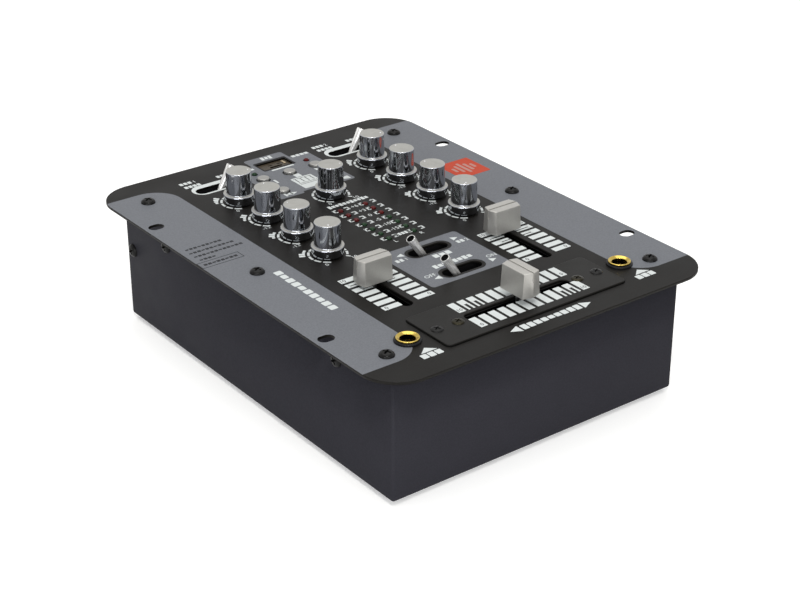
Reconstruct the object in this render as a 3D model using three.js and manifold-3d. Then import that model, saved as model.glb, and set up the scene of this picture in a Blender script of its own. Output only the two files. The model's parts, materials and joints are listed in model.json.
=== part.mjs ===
// Two-channel DJ mixer: a folded steel box under a larger flat panel that carries all the controls.
// Millimetres. X to the right, Y to the rear, Z up; the origin is on the table under the panel's middle.

import * as THREE from 'three';
import { mergeVertices } from 'three/addons/utils/BufferGeometryUtils.js';
import Module from 'manifold-3d';

const wasm = await Module();
wasm.setup();

// General values
const OVERRUN = 1;              // how far a cut passes the face it leaves
const RUN_GAP = 0.3;            // clearance round pieces that move or pass through a hole
const FLAT_SHARE = 0.02;        // share of a slot's round end that is left flat
const ROUND_SEGMENTS = 18;      // facets of a knob or a jack
const SMALL_SEGMENTS = 12;      // facets of a bush, button, foot or pin
const TINY_SEGMENTS = 8;        // facets of a screw, lamp or small hole
const CORNER_SEGMENTS = 3;      // facets of a small rounded corner
const PANEL_SEGMENTS = 9;       // facets of the panel's own corners

// Layout of the panel from its rear edge to its front edge, along Y
const REAR_TO_SOURCE = 32.15;   // rear edge to the source selector row
const SOURCE_TO_KNOB = 25.35;   // source selector row to the first knob row
const KNOB_PITCH = 28.2;        // row to row
const KNOB_ROWS = 4;
const KNOB_TO_FADER = 25.6;     // last knob axis to the rear end of the fader slot
const FADER_TRAVEL = 36.5;
const FADER_SLOT_SPARE = 9.6;   // slot length beyond the travel
const FADER_TO_CROSS = 28.2;    // front end of the fader slot to the crossfader slot
const CROSS_TO_FRONT = 33;      // crossfader slot to the front edge

// Layout across the panel, along X
const CONTROL_X = 1.1;          // the control layout sits a little right of the panel's middle
const COLUMN_X = 45.5;          // layout middle to a channel column
const CROSS_TRAVEL = 60;
const CROSS_SLOT_SPARE = 6.6;
const PLATE_END = 24.2;         // crossfader slot end to plate end
const JACK_GAP = 11.1;          // plate end to jack axis
const JACK_TO_SIDE = 23.9;      // jack axis to the side of the box
const OVERHANG_SIDE = 12.5;
const OVERHANG_END = 13.25;

// Box and panel
const FOOT_H = 3;
const PAN_H = 70.5;
const PAN_WALL = 1.2;
const PAN_BEND_R = 1.5;
const PAN_BEND_STEPS = 3;
const FLANGE_SIDE_W = 14.8;     // inward flange along each side
const FLANGE_END_W = 6;         // inward flange at the front and rear
const PANEL_T = 1.5;
const PANEL_CORNER_R = 21;
const MOUNT_SLOT_L = 8.7;
const MOUNT_SLOT_W = 6.5;
const MOUNT_SLOT_EDGE = 7;      // side edge of the panel to the slot's middle
const MOUNT_SLOT_END = 58.2;    // front or rear edge of the panel to the slot's middle

// Panel screws
const SCREW_END = 27.5;         // front or rear edge of the panel to the corner screws
const SCREW_HEAD_R = 4;
const SCREW_HEAD_H = 2.2;
const SCREW_SHANK_R = 1.9;
const SCREW_L = 8;
const CROWN_SHARES = [0.9, 0.5];    // of the head's radius where the dome turns

// Knobs and the controls under them
const KNOB_TOP_R = 7.05;
const KNOB_WAIST_R = 7.35;
const KNOB_SKIRT_R = 8.7;
const KNOB_SKIRT_FOOT_R = 8.3;
const KNOB_SKIRT_H = 4.8;
const KNOB_H = 19.1;
const KNOB_LIFT = 0.9;          // panel to the skirt's lower edge
const KNOB_EDGE = 0.4;
const KNOB_HOLLOW_R = 6.5;
const KNOB_HOLLOW_H = 4.1;
const SPINDLE_R = 3;
const BUSH_R = 3.6;
const BUSH_H = 3;               // bush above the panel
const NUT_R = 5.4;
const NUT_H = 2;
const NUT_FACETS = 6;
const POT_W = 12;
const POT_L = 11.5;
const POT_H = 9;
const POT_FLOOR = 1.5;          // closed end under the spindle
const BOARD_T = 1.6;
const POT_BOARD_W = 20;
const POT_BOARD_END = 6.6;      // last knob axis to the board's end
const MASTER_BACK = 23;         // first knob row to the master knob, towards the front

// Faders and their caps
const FADER_SLOT_W = 6.2;
const FADER_LEFT = 0.8;         // knob columns to the fader slots
const CROSS_SLOT_W = 6.5;
const FADER_BODY_W = 12;
const FADER_BODY_H = 10;
const FADER_BODY_WALL = 1.2;
const FADER_BODY_END = 9.2;     // slot end to the end of the fader's frame
const CROSS_BODY_END = 11.5;
const CARRIAGE_L = 11;          // along the travel
const CARRIAGE_H = 4;
const LEVER_L = 4;              // along the travel
const LEVER_T = 1.4;
const LEVER_GRIP = 8;           // how far the lever reaches into the cap
const CAP_L = 20.1;             // across the travel
const CAP_W = 11;               // along the travel
const CAP_H = 13.3;
const CAP_PROW = 1.6;           // each end's ridge stands this far out from the long faces' ends
const CAP_TAPER = 0.7;          // each long face, from base to top
const CAP_END_TAPER = 0.2;
const CAP_EDGE = 0.3;
const FADER_CAP_LIFT = 2;       // panel to the cap's underside
const CROSS_CAP_LIFT = 5.3;
const LEFT_FADER_UP = 26.3;       // travel left of the front stop, as photographed
const RIGHT_FADER_UP = 33.6;
const CROSSFADER_RIGHT = 1.1;   // right of the middle, as photographed
const CAP_GROOVE_W = 1;         // pointer groove over the top and down both ridges
const CAP_GROOVE = 0.5;
const CAP_GROOVE_DROP = 4.9;    // top to the groove's lower end

// Crossfader plate and its screws
const PLATE_T = 1;
const PLATE_W = 34.7;
const PLATE_R = 2;
const PLATE_CUT_END = 14.5;     // slot end to the end of the panel's opening under the plate
const PLATE_CUT_W = 20;
const FADER_SCREW_END = 5.4;    // slot end to the inner, brass screws
const PLATE_SCREW_END = 18.3;   // slot end to the outer, black screws
const PLATE_SCREW_Y = 1;        // the screws sit this far in front of the slot's middle
const PLATE_HEAD_R = 3.3;
const PLATE_HEAD_H = 0.9;
const PLATE_SHANK_R = 1.25;
const PLATE_SCREW_L = 5;

// Toggle switches
const TOGGLE_SLOT_L = 24.5;
const TOGGLE_SLOT_W = 7.5;
const TOGGLE_TIP_R = 2.5;
const TOGGLE_NECK_R = 1.9;
const TOGGLE_DIMPLE_R = 2;
const TOGGLE_DIMPLE = 2;
const TOGGLE_DIMPLE_FOOT_R = 1.4;
const TOGGLE_HUB_R = 2.9;
const TOGGLE_HUB_L = 6.4;
const TOGGLE_PIN_R = 1.1;
const TOGGLE_PIN_L = 11.2;
const SWITCH_WALL = 2;
const SWITCH_FLOOR = 3.4;       // pivot to the switch's closed floor
const SWITCH_BASE = 1.6;
const SOURCE_DEPTH = 8.5;       // panel top to the pivot
const SOURCE_REACH = 22.3;      // pivot to the tip
const SOURCE_TILT = 29.5;       // degrees each way
const CUE_DEPTH = 7.1;
const CUE_REACH = 20.3;
const CUE_TILT = 35;
const CUE_FROM_FADER = 0.8;     // rear end of the fader slot to the upper cue switch
const CUE_PITCH = 28.4;
const CUE_BOARD_EDGE = 1;

// Player: media socket, buttons and lamps
const WINDOW_L = 21.7;
const WINDOW_W = 12.9;
const WINDOW_FROM_REAR = 23.6;
const PLAYER_DEPTH = 15;        // panel top to the player's board
const PLAYER_BOARD_SIDE = 10.5; // outer button to the board's side
const PLAYER_BOARD_END = 6;     // front button row to the board's front edge
const PLAYER_BOARD_REAR = 7.6;  // window middle to the board's rear edge
const POST_R = 2.5;
const POST_INSET = 3;
const SOCKET_L = 14.6;
const SOCKET_W = 8;
const SOCKET_WALL = 1;
const SOCKET_DROP = 3;          // panel top to the socket's mouth
const TONGUE_T = 1.4;
const TONGUE_DROP = 2.4;        // mouth to the tongue
const BUTTON_R = 3.5;
const BUTTON_HOLE_R = 4;
const BUTTON_PROUD = 0.9;
const BUTTON_TRAVEL = 0.5;
const BUTTON_FLANGE_R = 4.6;
const BUTTON_FLANGE_T = 1;
const BUTTON_STEM_R = 1.8;
const BUTTON_PITCH_X = 17.95;
const BUTTON_ROW_FROM_WINDOW = 15.9;
const BUTTON_ROW_PITCH = 20;
const TACT_W = 6;
const TACT_H = 5;
const PLAYER_LAMP_FROM_WINDOW = 6.6;

// Lamps
const LAMP_R = 1.5;
const LAMP_HOLE_R = 1.85;
const LAMP_PROUD = 1.2;
const LAMP_SHOULDER_SHARES = [0.7, 0.72];  // of the lamp's radius and dome height
const METER_ROWS = 7;
const METER_HALF = 8.4;         // meter's middle to a lamp column
const METER_FROM_MASTER = 21;   // master knob to the first lamp row
const METER_TO_CUE = 23;        // last lamp row to the upper cue switch
const METER_BOARD_W = 40;
const METER_BOARD_END = 7.5;

// Jack sockets
const JACK_BORE_R = 3.3;
const JACK_BORE_L = 26;
const JACK_BUSH_R = 4.7;
const JACK_FLARE_R = 5.9;
const JACK_MOUTH_R = 5.3;
const JACK_TOP = 2.3;
const JACK_FLARE_T = 0.8;
const JACK_CONE = 1.4;
const JACK_RING_R = 6.9;
const JACK_RING_H = 1.3;
const JACK_RING_EDGE = 0.4;
const JACK_BODY_W = 14;
const JACK_BODY_H = 26;

// Feet
const FOOT_R = 7.5;
const FOOT_EDGE = 0.8;
const FOOT_STEM_R = 2.5;
const FOOT_CLIP_R = 3.6;
const FOOT_CLIP_H = 1.8;
const FOOT_SIDE = 18;           // side of the box to the foot's middle
const FOOT_END = 20;            // front or rear of the box to the foot's middle

// Main board on its posts
const MAIN_POST_H = 8;
const MAIN_SIDE = 16;           // box wall to the board's side
const MAIN_FRONT = 35;          // box front to the board's front edge
const MAIN_REAR = 6;            // box rear to the board's rear edge
const MAIN_POST_INSET = 6;
const CAN_R = 5;
const CAN_H = 16;
const CAN_ROWS = 2;
const CAN_COLUMNS = 4;
const CAN_GAP = 5;
const CHIP_W = 12;
const CHIP_L = 20;
const CHIP_H = 4;
const CHIP_GAP_X = 18;
const CHIP_GAP_Y = 20;

// Rear connections
const RCA_COLUMNS = 5;
const RCA_PITCH = 24;
const RCA_ROW_SHARES = [0.3, 0.72];
const RCA_BODY = 11;
const RCA_BODY_L = 8.2;
const RCA_BARREL_R = 4.15;
const RCA_BARREL_L = 8;
const RCA_BORE_R = 1.7;
const RCA_BORE_L = 7;
const REAR_BOARD_EDGE = 4;
const REAR_X = -14;             // middle of the socket field
const TERMINAL_GAP = 15;        // socket field to the ground terminal
const TERMINAL_STUD_R = 1.9;
const TERMINAL_HEAD_R = 4.5;
const TERMINAL_HEAD_L = 7;
const TERMINAL_NUT_R = 4;
const TERMINAL_NUT_L = 3;
const INLET_GAP = 14;           // ground terminal to the power inlet
const INLET_R = 5.5;
const INLET_FLANGE_R = 7;
const INLET_FLANGE_T = 1.6;
const INLET_L = 14;
const INLET_BORE_R = 3.2;
const INLET_BORE_L = 9.5;
const INLET_PIN_R = 1.05;

// Worked-out places, with Z counted from the panel's top face
const SLOT_L = FADER_TRAVEL + FADER_SLOT_SPARE;
const CROSS_SLOT_L = CROSS_TRAVEL + CROSS_SLOT_SPARE;
const PLATE_L = CROSS_SLOT_L + 2 * PLATE_END;
const JACK_X = PLATE_L / 2 + JACK_GAP;
const PAN_W = 2 * (JACK_X + JACK_TO_SIDE);
const PANEL_W = PAN_W + 2 * OVERHANG_SIDE;
const KNOB_SPAN = (KNOB_ROWS - 1) * KNOB_PITCH;
const CONTROL_SPAN = SOURCE_TO_KNOB + KNOB_SPAN + KNOB_TO_FADER + SLOT_L + FADER_TO_CROSS;
const PANEL_L = REAR_TO_SOURCE + CONTROL_SPAN + CROSS_TO_FRONT;
const PAN_L = PANEL_L - 2 * OVERHANG_END;
const PANEL_TOP = FOOT_H + PAN_H + PANEL_T;

const REAR_Y = PANEL_L / 2;
const SOURCE_Y = REAR_Y - REAR_TO_SOURCE;
const FIRST_KNOB_Y = SOURCE_Y - SOURCE_TO_KNOB;
const SLOT_REAR_Y = FIRST_KNOB_Y - KNOB_SPAN - KNOB_TO_FADER;
const FADER_Y = SLOT_REAR_Y - SLOT_L / 2;
const CROSS_Y = -REAR_Y + CROSS_TO_FRONT;
const MASTER_Y = FIRST_KNOB_Y - MASTER_BACK;
const CUE_YS = [SLOT_REAR_Y - CUE_FROM_FADER, SLOT_REAR_Y - CUE_FROM_FADER - CUE_PITCH];
const METER_FIRST_Y = MASTER_Y - METER_FROM_MASTER;
const METER_LAST_Y = CUE_YS[0] + METER_TO_CUE;
const METER_PITCH = (METER_FIRST_Y - METER_LAST_Y) / (METER_ROWS - 1);
const WINDOW_Y = REAR_Y - WINDOW_FROM_REAR;
const BUTTON_Y = WINDOW_Y - BUTTON_ROW_FROM_WINDOW;
const LAMP_Y = WINDOW_Y - PLAYER_LAMP_FROM_WINDOW;
const COLUMN_XS = [CONTROL_X - COLUMN_X, CONTROL_X + COLUMN_X];
const FADER_XS = COLUMN_XS.map((x) => x - FADER_LEFT);
const SIDES = ['left', 'right'];
const SIDE_SIGNS = [-1, 1];

// Materials
function finish(color, roughness, metalness) {
  return new THREE.MeshStandardMaterial({ color, roughness, metalness });
}

const paintedSteel = finish(0x3b3a38, 0.6, 0.3);
const panelPaint = finish(0x45433f, 0.55, 0.3);
const chrome = finish(0xd8dadc, 0.12, 1);
const satinCap = finish(0xa8a69c, 0.4, 0.4);
const blackScrew = finish(0x1d1c1b, 0.4, 0.8);
const brassScrew = finish(0x6b6038, 0.4, 0.9);
const gold = finish(0xd2b44c, 0.25, 1);
const blackPlastic = finish(0x16161a, 0.5, 0);
const boardGreen = finish(0x24553a, 0.6, 0);
const zincPlate = finish(0xb4b6b8, 0.35, 0.9);
const rubber = finish(0x151515, 0.9, 0);

// Solids from three.js geometry, joined and cut with manifold
function solidOf(geometry) {
  const bare = geometry.index ? geometry.toNonIndexed() : geometry.clone();
  bare.deleteAttribute('normal');
  bare.deleteAttribute('uv');
  const merged = mergeVertices(bare);
  const index = merged.index.array;
  const kept = [];
  for (let i = 0; i < index.length; i += 3) {
    const [a, b, c] = [index[i], index[i + 1], index[i + 2]];
    if (a !== b && b !== c && c !== a) {
      kept.push(a, b, c);
    }
  }
  const vertProperties = new Float32Array(merged.attributes.position.array);
  const triVerts = new Uint32Array(kept);
  return new wasm.Manifold(new wasm.Mesh({ numProp: 3, vertProperties, triVerts }));
}

function geometryOf(solid) {
  const { vertProperties, triVerts } = solid.getMesh();
  const geometry = new THREE.BufferGeometry();
  geometry.setAttribute('position', new THREE.BufferAttribute(vertProperties, 3));
  geometry.setIndex(new THREE.BufferAttribute(triVerts, 1));
  geometry.computeVertexNormals();
  return geometry;
}

function join(first, ...others) {
  return others.reduce((solid, other) => solid.add(other), first);
}

function cut(first, ...others) {
  return others.reduce((solid, other) => solid.subtract(other), first);
}

function moved(solid, x, y, z) {
  return solid.translate([x, y, z]);
}

// A box between two corners.
function block([x0, x1], [y0, y1], [z0, z1]) {
  const geometry = new THREE.BoxGeometry(x1 - x0, y1 - y0, z1 - z0);
  geometry.translate((x0 + x1) / 2, (y0 + y1) / 2, (z0 + z1) / 2);
  return solidOf(geometry);
}

function centred(middle, size) {
  return [middle - size / 2, middle + size / 2];
}

// A body of revolution about Z; the profile runs from the lower axis point to the upper one.
function turned(profile, segments) {
  const points = profile.map(([r, z]) => new THREE.Vector2(r, z));
  const geometry = new THREE.LatheGeometry(points, segments);
  geometry.rotateX(Math.PI / 2);
  return solidOf(geometry);
}

function rod(radius, z0, z1, segments) {
  return turned([[0, z0], [radius, z0], [radius, z1], [0, z1]], segments);
}

// The same rod laid along Y, from y0 to y1.
function rodAlongY(radius, y0, y1, segments) {
  return rod(radius, -y1, -y0, segments).rotate([90, 0, 0]);
}

// The points of a rounded rectangle, counter-clockwise from its right-hand front corner.
function roundedPoints(width, length, radius, x, y, segments) {
  const quarters = [[1, -1], [1, 1], [-1, 1], [-1, -1]];
  return quarters.flatMap(([signX, signY], quarter) => {
    const middleX = x + signX * (width / 2 - radius);
    const middleY = y + signY * (length / 2 - radius);
    return Array.from({ length: segments + 1 }, (_, i) => {
      const angle = (quarter - 1 + i / segments) * (Math.PI / 2);
      return new THREE.Vector2(middleX + radius * Math.cos(angle), middleY + radius * Math.sin(angle));
    });
  });
}

function roundedOutline(PathClass, width, length, radius, x = 0, y = 0, segments = CORNER_SEGMENTS) {
  return new PathClass(roundedPoints(width, length, radius, x, y, segments));
}

function roundHole(x, y, radius, segments = SMALL_SEGMENTS) {
  const points = Array.from({ length: segments }, (_, i) => {
    const angle = (i / segments) * 2 * Math.PI;
    return new THREE.Vector2(x + radius * Math.cos(angle), y + radius * Math.sin(angle));
  });
  return new THREE.Path(points);
}

// A slot with round ends, given its whole length along X and along Y.
function slotHole(x, y, lengthX, lengthY) {
  const radius = (1 - FLAT_SHARE) * (Math.min(lengthX, lengthY) / 2);
  return roundedOutline(THREE.Path, lengthX, lengthY, radius, x, y);
}

// A flat plate with holes, from z0 up.
function plate(shape, z0, thickness) {
  const options = { depth: thickness, bevelEnabled: false, curveSegments: 1 };
  const geometry = new THREE.ExtrudeGeometry(shape, options);
  geometry.translate(0, 0, z0);
  return solidOf(geometry);
}

// The points of a rounded rectangle at a height, as one ring of a loft.
function roundedRing([width, length, radius, z]) {
  const ring = roundedPoints(width, length, radius, 0, 0, CORNER_SEGMENTS);
  return ring.map((point) => [point.x, point.y, z]);
}

// A solid through rings of points, from the lowest up.
function lofted(rings) {
  const positions = [];
  const count = rings[0].length;
  for (let level = 1; level < rings.length; level += 1) {
    for (let i = 0; i < count; i += 1) {
      const next = (i + 1) % count;
      const [a, b] = [rings[level - 1][i], rings[level - 1][next]];
      const [c, d] = [rings[level][i], rings[level][next]];
      positions.push(...a, ...b, ...d, ...a, ...d, ...c);
    }
  }
  const [bottom, top] = [rings[0], rings[rings.length - 1]];
  for (let i = 1; i < count - 1; i += 1) {
    positions.push(...bottom[0], ...bottom[i + 1], ...bottom[i]);
    positions.push(...top[0], ...top[i], ...top[i + 1]);
  }
  const geometry = new THREE.BufferGeometry();
  geometry.setAttribute('position', new THREE.Float32BufferAttribute(positions, 3));
  return solidOf(geometry);
}

// The scene graph: the deck group carries what hangs on the panel, with its top face at zero
const mixer = new THREE.Group();
const deck = new THREE.Group();
deck.position.z = PANEL_TOP;
mixer.add(deck);

function addPiece(parent, name, solid, material, x = 0, y = 0, z = 0) {
  const mesh = new THREE.Mesh(geometryOf(solid), material);
  mesh.name = name;
  mesh.position.set(x, y, z);
  parent.add(mesh);
  return mesh;
}

// Places shared by holes and the pieces in them
const screwPlaces = [];
for (const sign of SIDE_SIGNS) {
  for (const row of [1, 0, -1]) {
    screwPlaces.push([sign * (PAN_W - FLANGE_SIDE_W) / 2, row * (REAR_Y - SCREW_END)]);
  }
}
const mountPlaces = [];
const footPlaces = [];
for (const signX of SIDE_SIGNS) {
  for (const signY of SIDE_SIGNS) {
    mountPlaces.push([signX * (PANEL_W / 2 - MOUNT_SLOT_EDGE), signY * (REAR_Y - MOUNT_SLOT_END)]);
    footPlaces.push([signX * (PAN_W / 2 - FOOT_SIDE), signY * (PAN_L / 2 - FOOT_END)]);
  }
}
const knobRows = Array.from({ length: KNOB_ROWS }, (_, row) => FIRST_KNOB_Y - row * KNOB_PITCH);
const knobPlaces = COLUMN_XS.flatMap((x) => knobRows.map((y) => [x, y]));
knobPlaces.push([CONTROL_X, MASTER_Y]);
const meterPlaces = [];
for (let row = 0; row < METER_ROWS; row += 1) {
  for (const sign of SIDE_SIGNS) {
    meterPlaces.push([CONTROL_X + sign * METER_HALF, METER_FIRST_Y - row * METER_PITCH]);
  }
}
const playerLamps = SIDE_SIGNS.map((sign) => [CONTROL_X + sign * BUTTON_PITCH_X, LAMP_Y]);
const buttonPlaces = [-1, 0, 1].map((step) => [CONTROL_X + step * BUTTON_PITCH_X, BUTTON_Y]);
for (const sign of SIDE_SIGNS) {
  buttonPlaces.push([CONTROL_X + sign * BUTTON_PITCH_X, BUTTON_Y - BUTTON_ROW_PITCH]);
}
const plateScrewXs = [PLATE_SCREW_END, FADER_SCREW_END].map((reach) => CROSS_SLOT_L / 2 + reach);
const plateScrewPlaces = SIDE_SIGNS.flatMap((sign) =>
  plateScrewXs.map((x) => [sign * x, CROSS_Y - PLATE_SCREW_Y]));
const outerPlateScrews = plateScrewPlaces.filter(([x]) => Math.abs(x) === plateScrewXs[0]);
const togglePlaces = COLUMN_XS.map((x) => [x, SOURCE_Y]).concat(CUE_YS.map((y) => [CONTROL_X, y]));

// Rear connections share their places with the holes in the rear wall
const MAIN_BOARD_Z = FOOT_H + PAN_WALL + MAIN_POST_H;
const MAIN_TOP_Z = MAIN_BOARD_Z + BOARD_T;
const PLAYER_BOARD_Z = PANEL_TOP - PLAYER_DEPTH - BOARD_T;
const REAR_SPACE = PLAYER_BOARD_Z - MAIN_TOP_Z;
const rcaRows = RCA_ROW_SHARES.map((share) => MAIN_TOP_Z + share * REAR_SPACE);
const rcaColumns = Array.from({ length: RCA_COLUMNS }, (_, i) =>
  REAR_X + (i - (RCA_COLUMNS - 1) / 2) * RCA_PITCH);
const rcaPlaces = rcaColumns.flatMap((x) => rcaRows.map((z) => [x, z]));
const TERMINAL_X = rcaColumns[RCA_COLUMNS - 1] + TERMINAL_GAP;
const INLET_X = TERMINAL_X + INLET_GAP;
const REAR_WALL_Y = PAN_L / 2;
const INNER_REAR_Y = REAR_WALL_Y - PAN_WALL;

// Folded box with round bends, inward flanges, and holes for feet, screws and rear sockets
function panSolid() {
  const top = FOOT_H + PAN_H;
  const levels = Array.from({ length: PAN_BEND_STEPS + 1 }, (_, step) => {
    const angle = (step / PAN_BEND_STEPS) * (Math.PI / 2);
    const inset = PAN_BEND_R * (1 - Math.sin(angle));
    const rise = PAN_BEND_R * (1 - Math.cos(angle));
    return [PAN_W - 2 * inset, PAN_L - 2 * inset, PAN_BEND_R - inset / 2, FOOT_H + rise];
  });
  levels.push([PAN_W, PAN_L, PAN_BEND_R, top]);
  const shell = lofted(levels.map(roundedRing));
  const innerR = PAN_BEND_R - PAN_WALL;
  const innerW = PAN_W - 2 * PAN_WALL;
  const innerL = PAN_L - 2 * PAN_WALL;
  const hollow = lofted([
    [innerW - 2 * innerR, innerL - 2 * innerR, innerR, FOOT_H + PAN_WALL],
    [innerW, innerL, innerR, FOOT_H + PAN_WALL + innerR],
    [innerW, innerL, innerR, top - PAN_WALL],
  ].map(roundedRing));
  const mouth = lofted([
    [PAN_W - 2 * FLANGE_SIDE_W, PAN_L - 2 * FLANGE_END_W, innerR, top - PAN_WALL - OVERRUN],
    [PAN_W - 2 * FLANGE_SIDE_W, PAN_L - 2 * FLANGE_END_W, innerR, top + OVERRUN],
  ].map(roundedRing));
  const holes = screwPlaces.map(([x, y]) => {
    const shank = rod(SCREW_SHANK_R + RUN_GAP, top - PAN_WALL - OVERRUN, top + OVERRUN, TINY_SEGMENTS);
    return moved(shank, x, y, 0);
  });
  for (const [x, y] of footPlaces) {
    const stem = rod(FOOT_STEM_R + RUN_GAP, FOOT_H - OVERRUN, FOOT_H + PAN_WALL + OVERRUN, SMALL_SEGMENTS);
    holes.push(moved(stem, x, y, 0));
  }
  const through = [INNER_REAR_Y - OVERRUN, REAR_WALL_Y + OVERRUN];
  for (const [x, z] of rcaPlaces) {
    holes.push(moved(rodAlongY(RCA_BARREL_R + RUN_GAP, ...through, SMALL_SEGMENTS), x, 0, z));
  }
  const [terminalHole, inletHole] = [TERMINAL_STUD_R + RUN_GAP, INLET_R + RUN_GAP].map((radius) =>
    rodAlongY(radius, ...through, SMALL_SEGMENTS));
  holes.push(moved(terminalHole, TERMINAL_X, 0, rcaRows[0]));
  holes.push(moved(inletHole, INLET_X, 0, rcaRows[0]));
  return cut(shell, hollow, mouth, ...holes);
}
addPiece(mixer, 'chassis_pan', panSolid(), paintedSteel);

// Top panel with every opening
function panelSolid() {
  const shape = roundedOutline(THREE.Shape, PANEL_W, PANEL_L, PANEL_CORNER_R, 0, 0, PANEL_SEGMENTS);
  const holes = shape.holes;
  for (const [x, y] of screwPlaces) {
    holes.push(roundHole(x, y, SCREW_SHANK_R + RUN_GAP, TINY_SEGMENTS));
  }
  for (const [x, y] of mountPlaces) {
    holes.push(slotHole(x, y, MOUNT_SLOT_L, MOUNT_SLOT_W));
  }
  for (const [x, y] of knobPlaces) {
    holes.push(roundHole(x, y, BUSH_R + RUN_GAP));
  }
  for (const [x, y] of meterPlaces.concat(playerLamps)) {
    holes.push(roundHole(x, y, LAMP_HOLE_R, TINY_SEGMENTS));
  }
  for (const [x, y] of buttonPlaces) {
    holes.push(roundHole(x, y, BUTTON_HOLE_R));
  }
  for (const [x, y] of togglePlaces) {
    holes.push(slotHole(x, y, TOGGLE_SLOT_L, TOGGLE_SLOT_W));
  }
  for (const x of FADER_XS) {
    holes.push(slotHole(x, FADER_Y, FADER_SLOT_W, SLOT_L));
  }
  for (const sign of SIDE_SIGNS) {
    holes.push(roundHole(sign * JACK_X, CROSS_Y, JACK_BUSH_R + RUN_GAP));
  }
  for (const [x, y] of outerPlateScrews) {
    holes.push(roundHole(x, y, PLATE_SHANK_R + RUN_GAP, TINY_SEGMENTS));
  }
  holes.push(roundedOutline(THREE.Path, WINDOW_L, WINDOW_W, PANEL_T / 2, CONTROL_X, WINDOW_Y));
  holes.push(roundedOutline(THREE.Path, CROSS_SLOT_L + 2 * PLATE_CUT_END, PLATE_CUT_W, PANEL_T, 0, CROSS_Y));
  return plate(shape, -PANEL_T, PANEL_T);
}
addPiece(deck, 'top_panel', panelSolid(), panelPaint);

// Raised plate round the crossfader slot
function crossPlateSolid() {
  const shape = roundedOutline(THREE.Shape, PLATE_L, PLATE_W, PLATE_R);
  shape.holes.push(slotHole(0, 0, CROSS_SLOT_L, CROSS_SLOT_W));
  for (const [x] of plateScrewPlaces) {
    shape.holes.push(roundHole(x, -PLATE_SCREW_Y, PLATE_SHANK_R + RUN_GAP, TINY_SEGMENTS));
  }
  return plate(shape, 0, PLATE_T);
}
addPiece(deck, 'crossfader_plate', crossPlateSolid(), panelPaint, 0, CROSS_Y);

// Domed screws; the profile runs from the tip up over the head
function screwSolid(shankR, length, headR, headH) {
  const crown = CROWN_SHARES.map((share) => [headR * share, headH * Math.sqrt(1 - share ** 3)]);
  const shank = [[0, -length], [shankR, -length], [shankR, 0]];
  return turned([...shank, [headR, 0], ...crown, [0, headH]], SMALL_SEGMENTS);
}
const panelScrew = screwSolid(SCREW_SHANK_R, SCREW_L, SCREW_HEAD_R, SCREW_HEAD_H);
screwPlaces.forEach(([x, y], i) => addPiece(deck, `panel_screw_${i + 1}`, panelScrew, blackScrew, x, y));
const plateScrew = screwSolid(PLATE_SHANK_R, PLATE_SCREW_L, PLATE_HEAD_R, PLATE_HEAD_H);
const plateScrewNames = SIDES.flatMap((side) => [`${side}_plate_screw`, `${side}_fader_screw`]);
plateScrewPlaces.forEach(([x, y], i) => {
  const material = i % 2 === 0 ? blackScrew : brassScrew;
  addPiece(deck, plateScrewNames[i], plateScrew, material, x, y, PLATE_T);
});

// Rotary knob with its spindle
function knobSolid() {
  const outside = [
    [0, KNOB_LIFT],
    [KNOB_SKIRT_FOOT_R, KNOB_LIFT],
    [KNOB_SKIRT_R, KNOB_SKIRT_H - 2 * KNOB_EDGE],
    [KNOB_SKIRT_R - KNOB_EDGE, KNOB_SKIRT_H],
    [KNOB_WAIST_R, KNOB_SKIRT_H + KNOB_EDGE / 2],
    [KNOB_TOP_R, KNOB_H - KNOB_EDGE],
    [KNOB_TOP_R - KNOB_EDGE, KNOB_H],
    [0, KNOB_H],
  ];
  const hollow = rod(KNOB_HOLLOW_R, KNOB_LIFT - OVERRUN, KNOB_HOLLOW_H, ROUND_SEGMENTS);
  const spindleEnd = -PANEL_T - POT_H + POT_FLOOR + RUN_GAP;
  const spindle = rod(SPINDLE_R, spindleEnd, KNOB_HOLLOW_H + OVERRUN, SMALL_SEGMENTS);
  return join(cut(turned(outside, ROUND_SEGMENTS), hollow), spindle);
}
const knob = knobSolid();
const bands = ['gain', 'high', 'mid', 'low'];
const knobNames = SIDES.flatMap((side) => bands.map((band) => `${side}_${band}_knob`));
knobNames.push('master_knob');
knobPlaces.forEach(([x, y], i) => addPiece(deck, knobNames[i], knob, chrome, x, y));

// Potentiometer: body, threaded bush and nut, bored for the spindle
function potSolid() {
  const body = block(centred(0, POT_W), centred(0, POT_L), [-PANEL_T - POT_H, -PANEL_T]);
  const bush = rod(BUSH_R, -PANEL_T - OVERRUN, BUSH_H, SMALL_SEGMENTS);
  const nut = rod(NUT_R, 0, NUT_H, NUT_FACETS);
  return join(body, bush, nut);
}
const pot = potSolid();
const potBore = rod(SPINDLE_R + RUN_GAP, -PANEL_T - POT_H + POT_FLOOR, BUSH_H + OVERRUN, SMALL_SEGMENTS);
const POT_BOARD_Z = -PANEL_T - POT_H - BOARD_T;

// Column of four potentiometers on its board
function potBoardSolid() {
  const ends = [FIRST_KNOB_Y - KNOB_SPAN - POT_BOARD_END, FIRST_KNOB_Y + POT_BOARD_END];
  const board = block(centred(0, POT_BOARD_W), ends, [POT_BOARD_Z, POT_BOARD_Z + BOARD_T]);
  const pots = knobRows.map((y) => moved(pot, 0, y, 0));
  const bores = knobRows.map((y) => moved(potBore, 0, y, 0));
  return cut(join(board, ...pots), ...bores);
}
const potBoard = potBoardSolid();
SIDES.forEach((side, i) => addPiece(deck, `${side}_pot_board`, potBoard, boardGreen, COLUMN_XS[i]));

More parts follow.
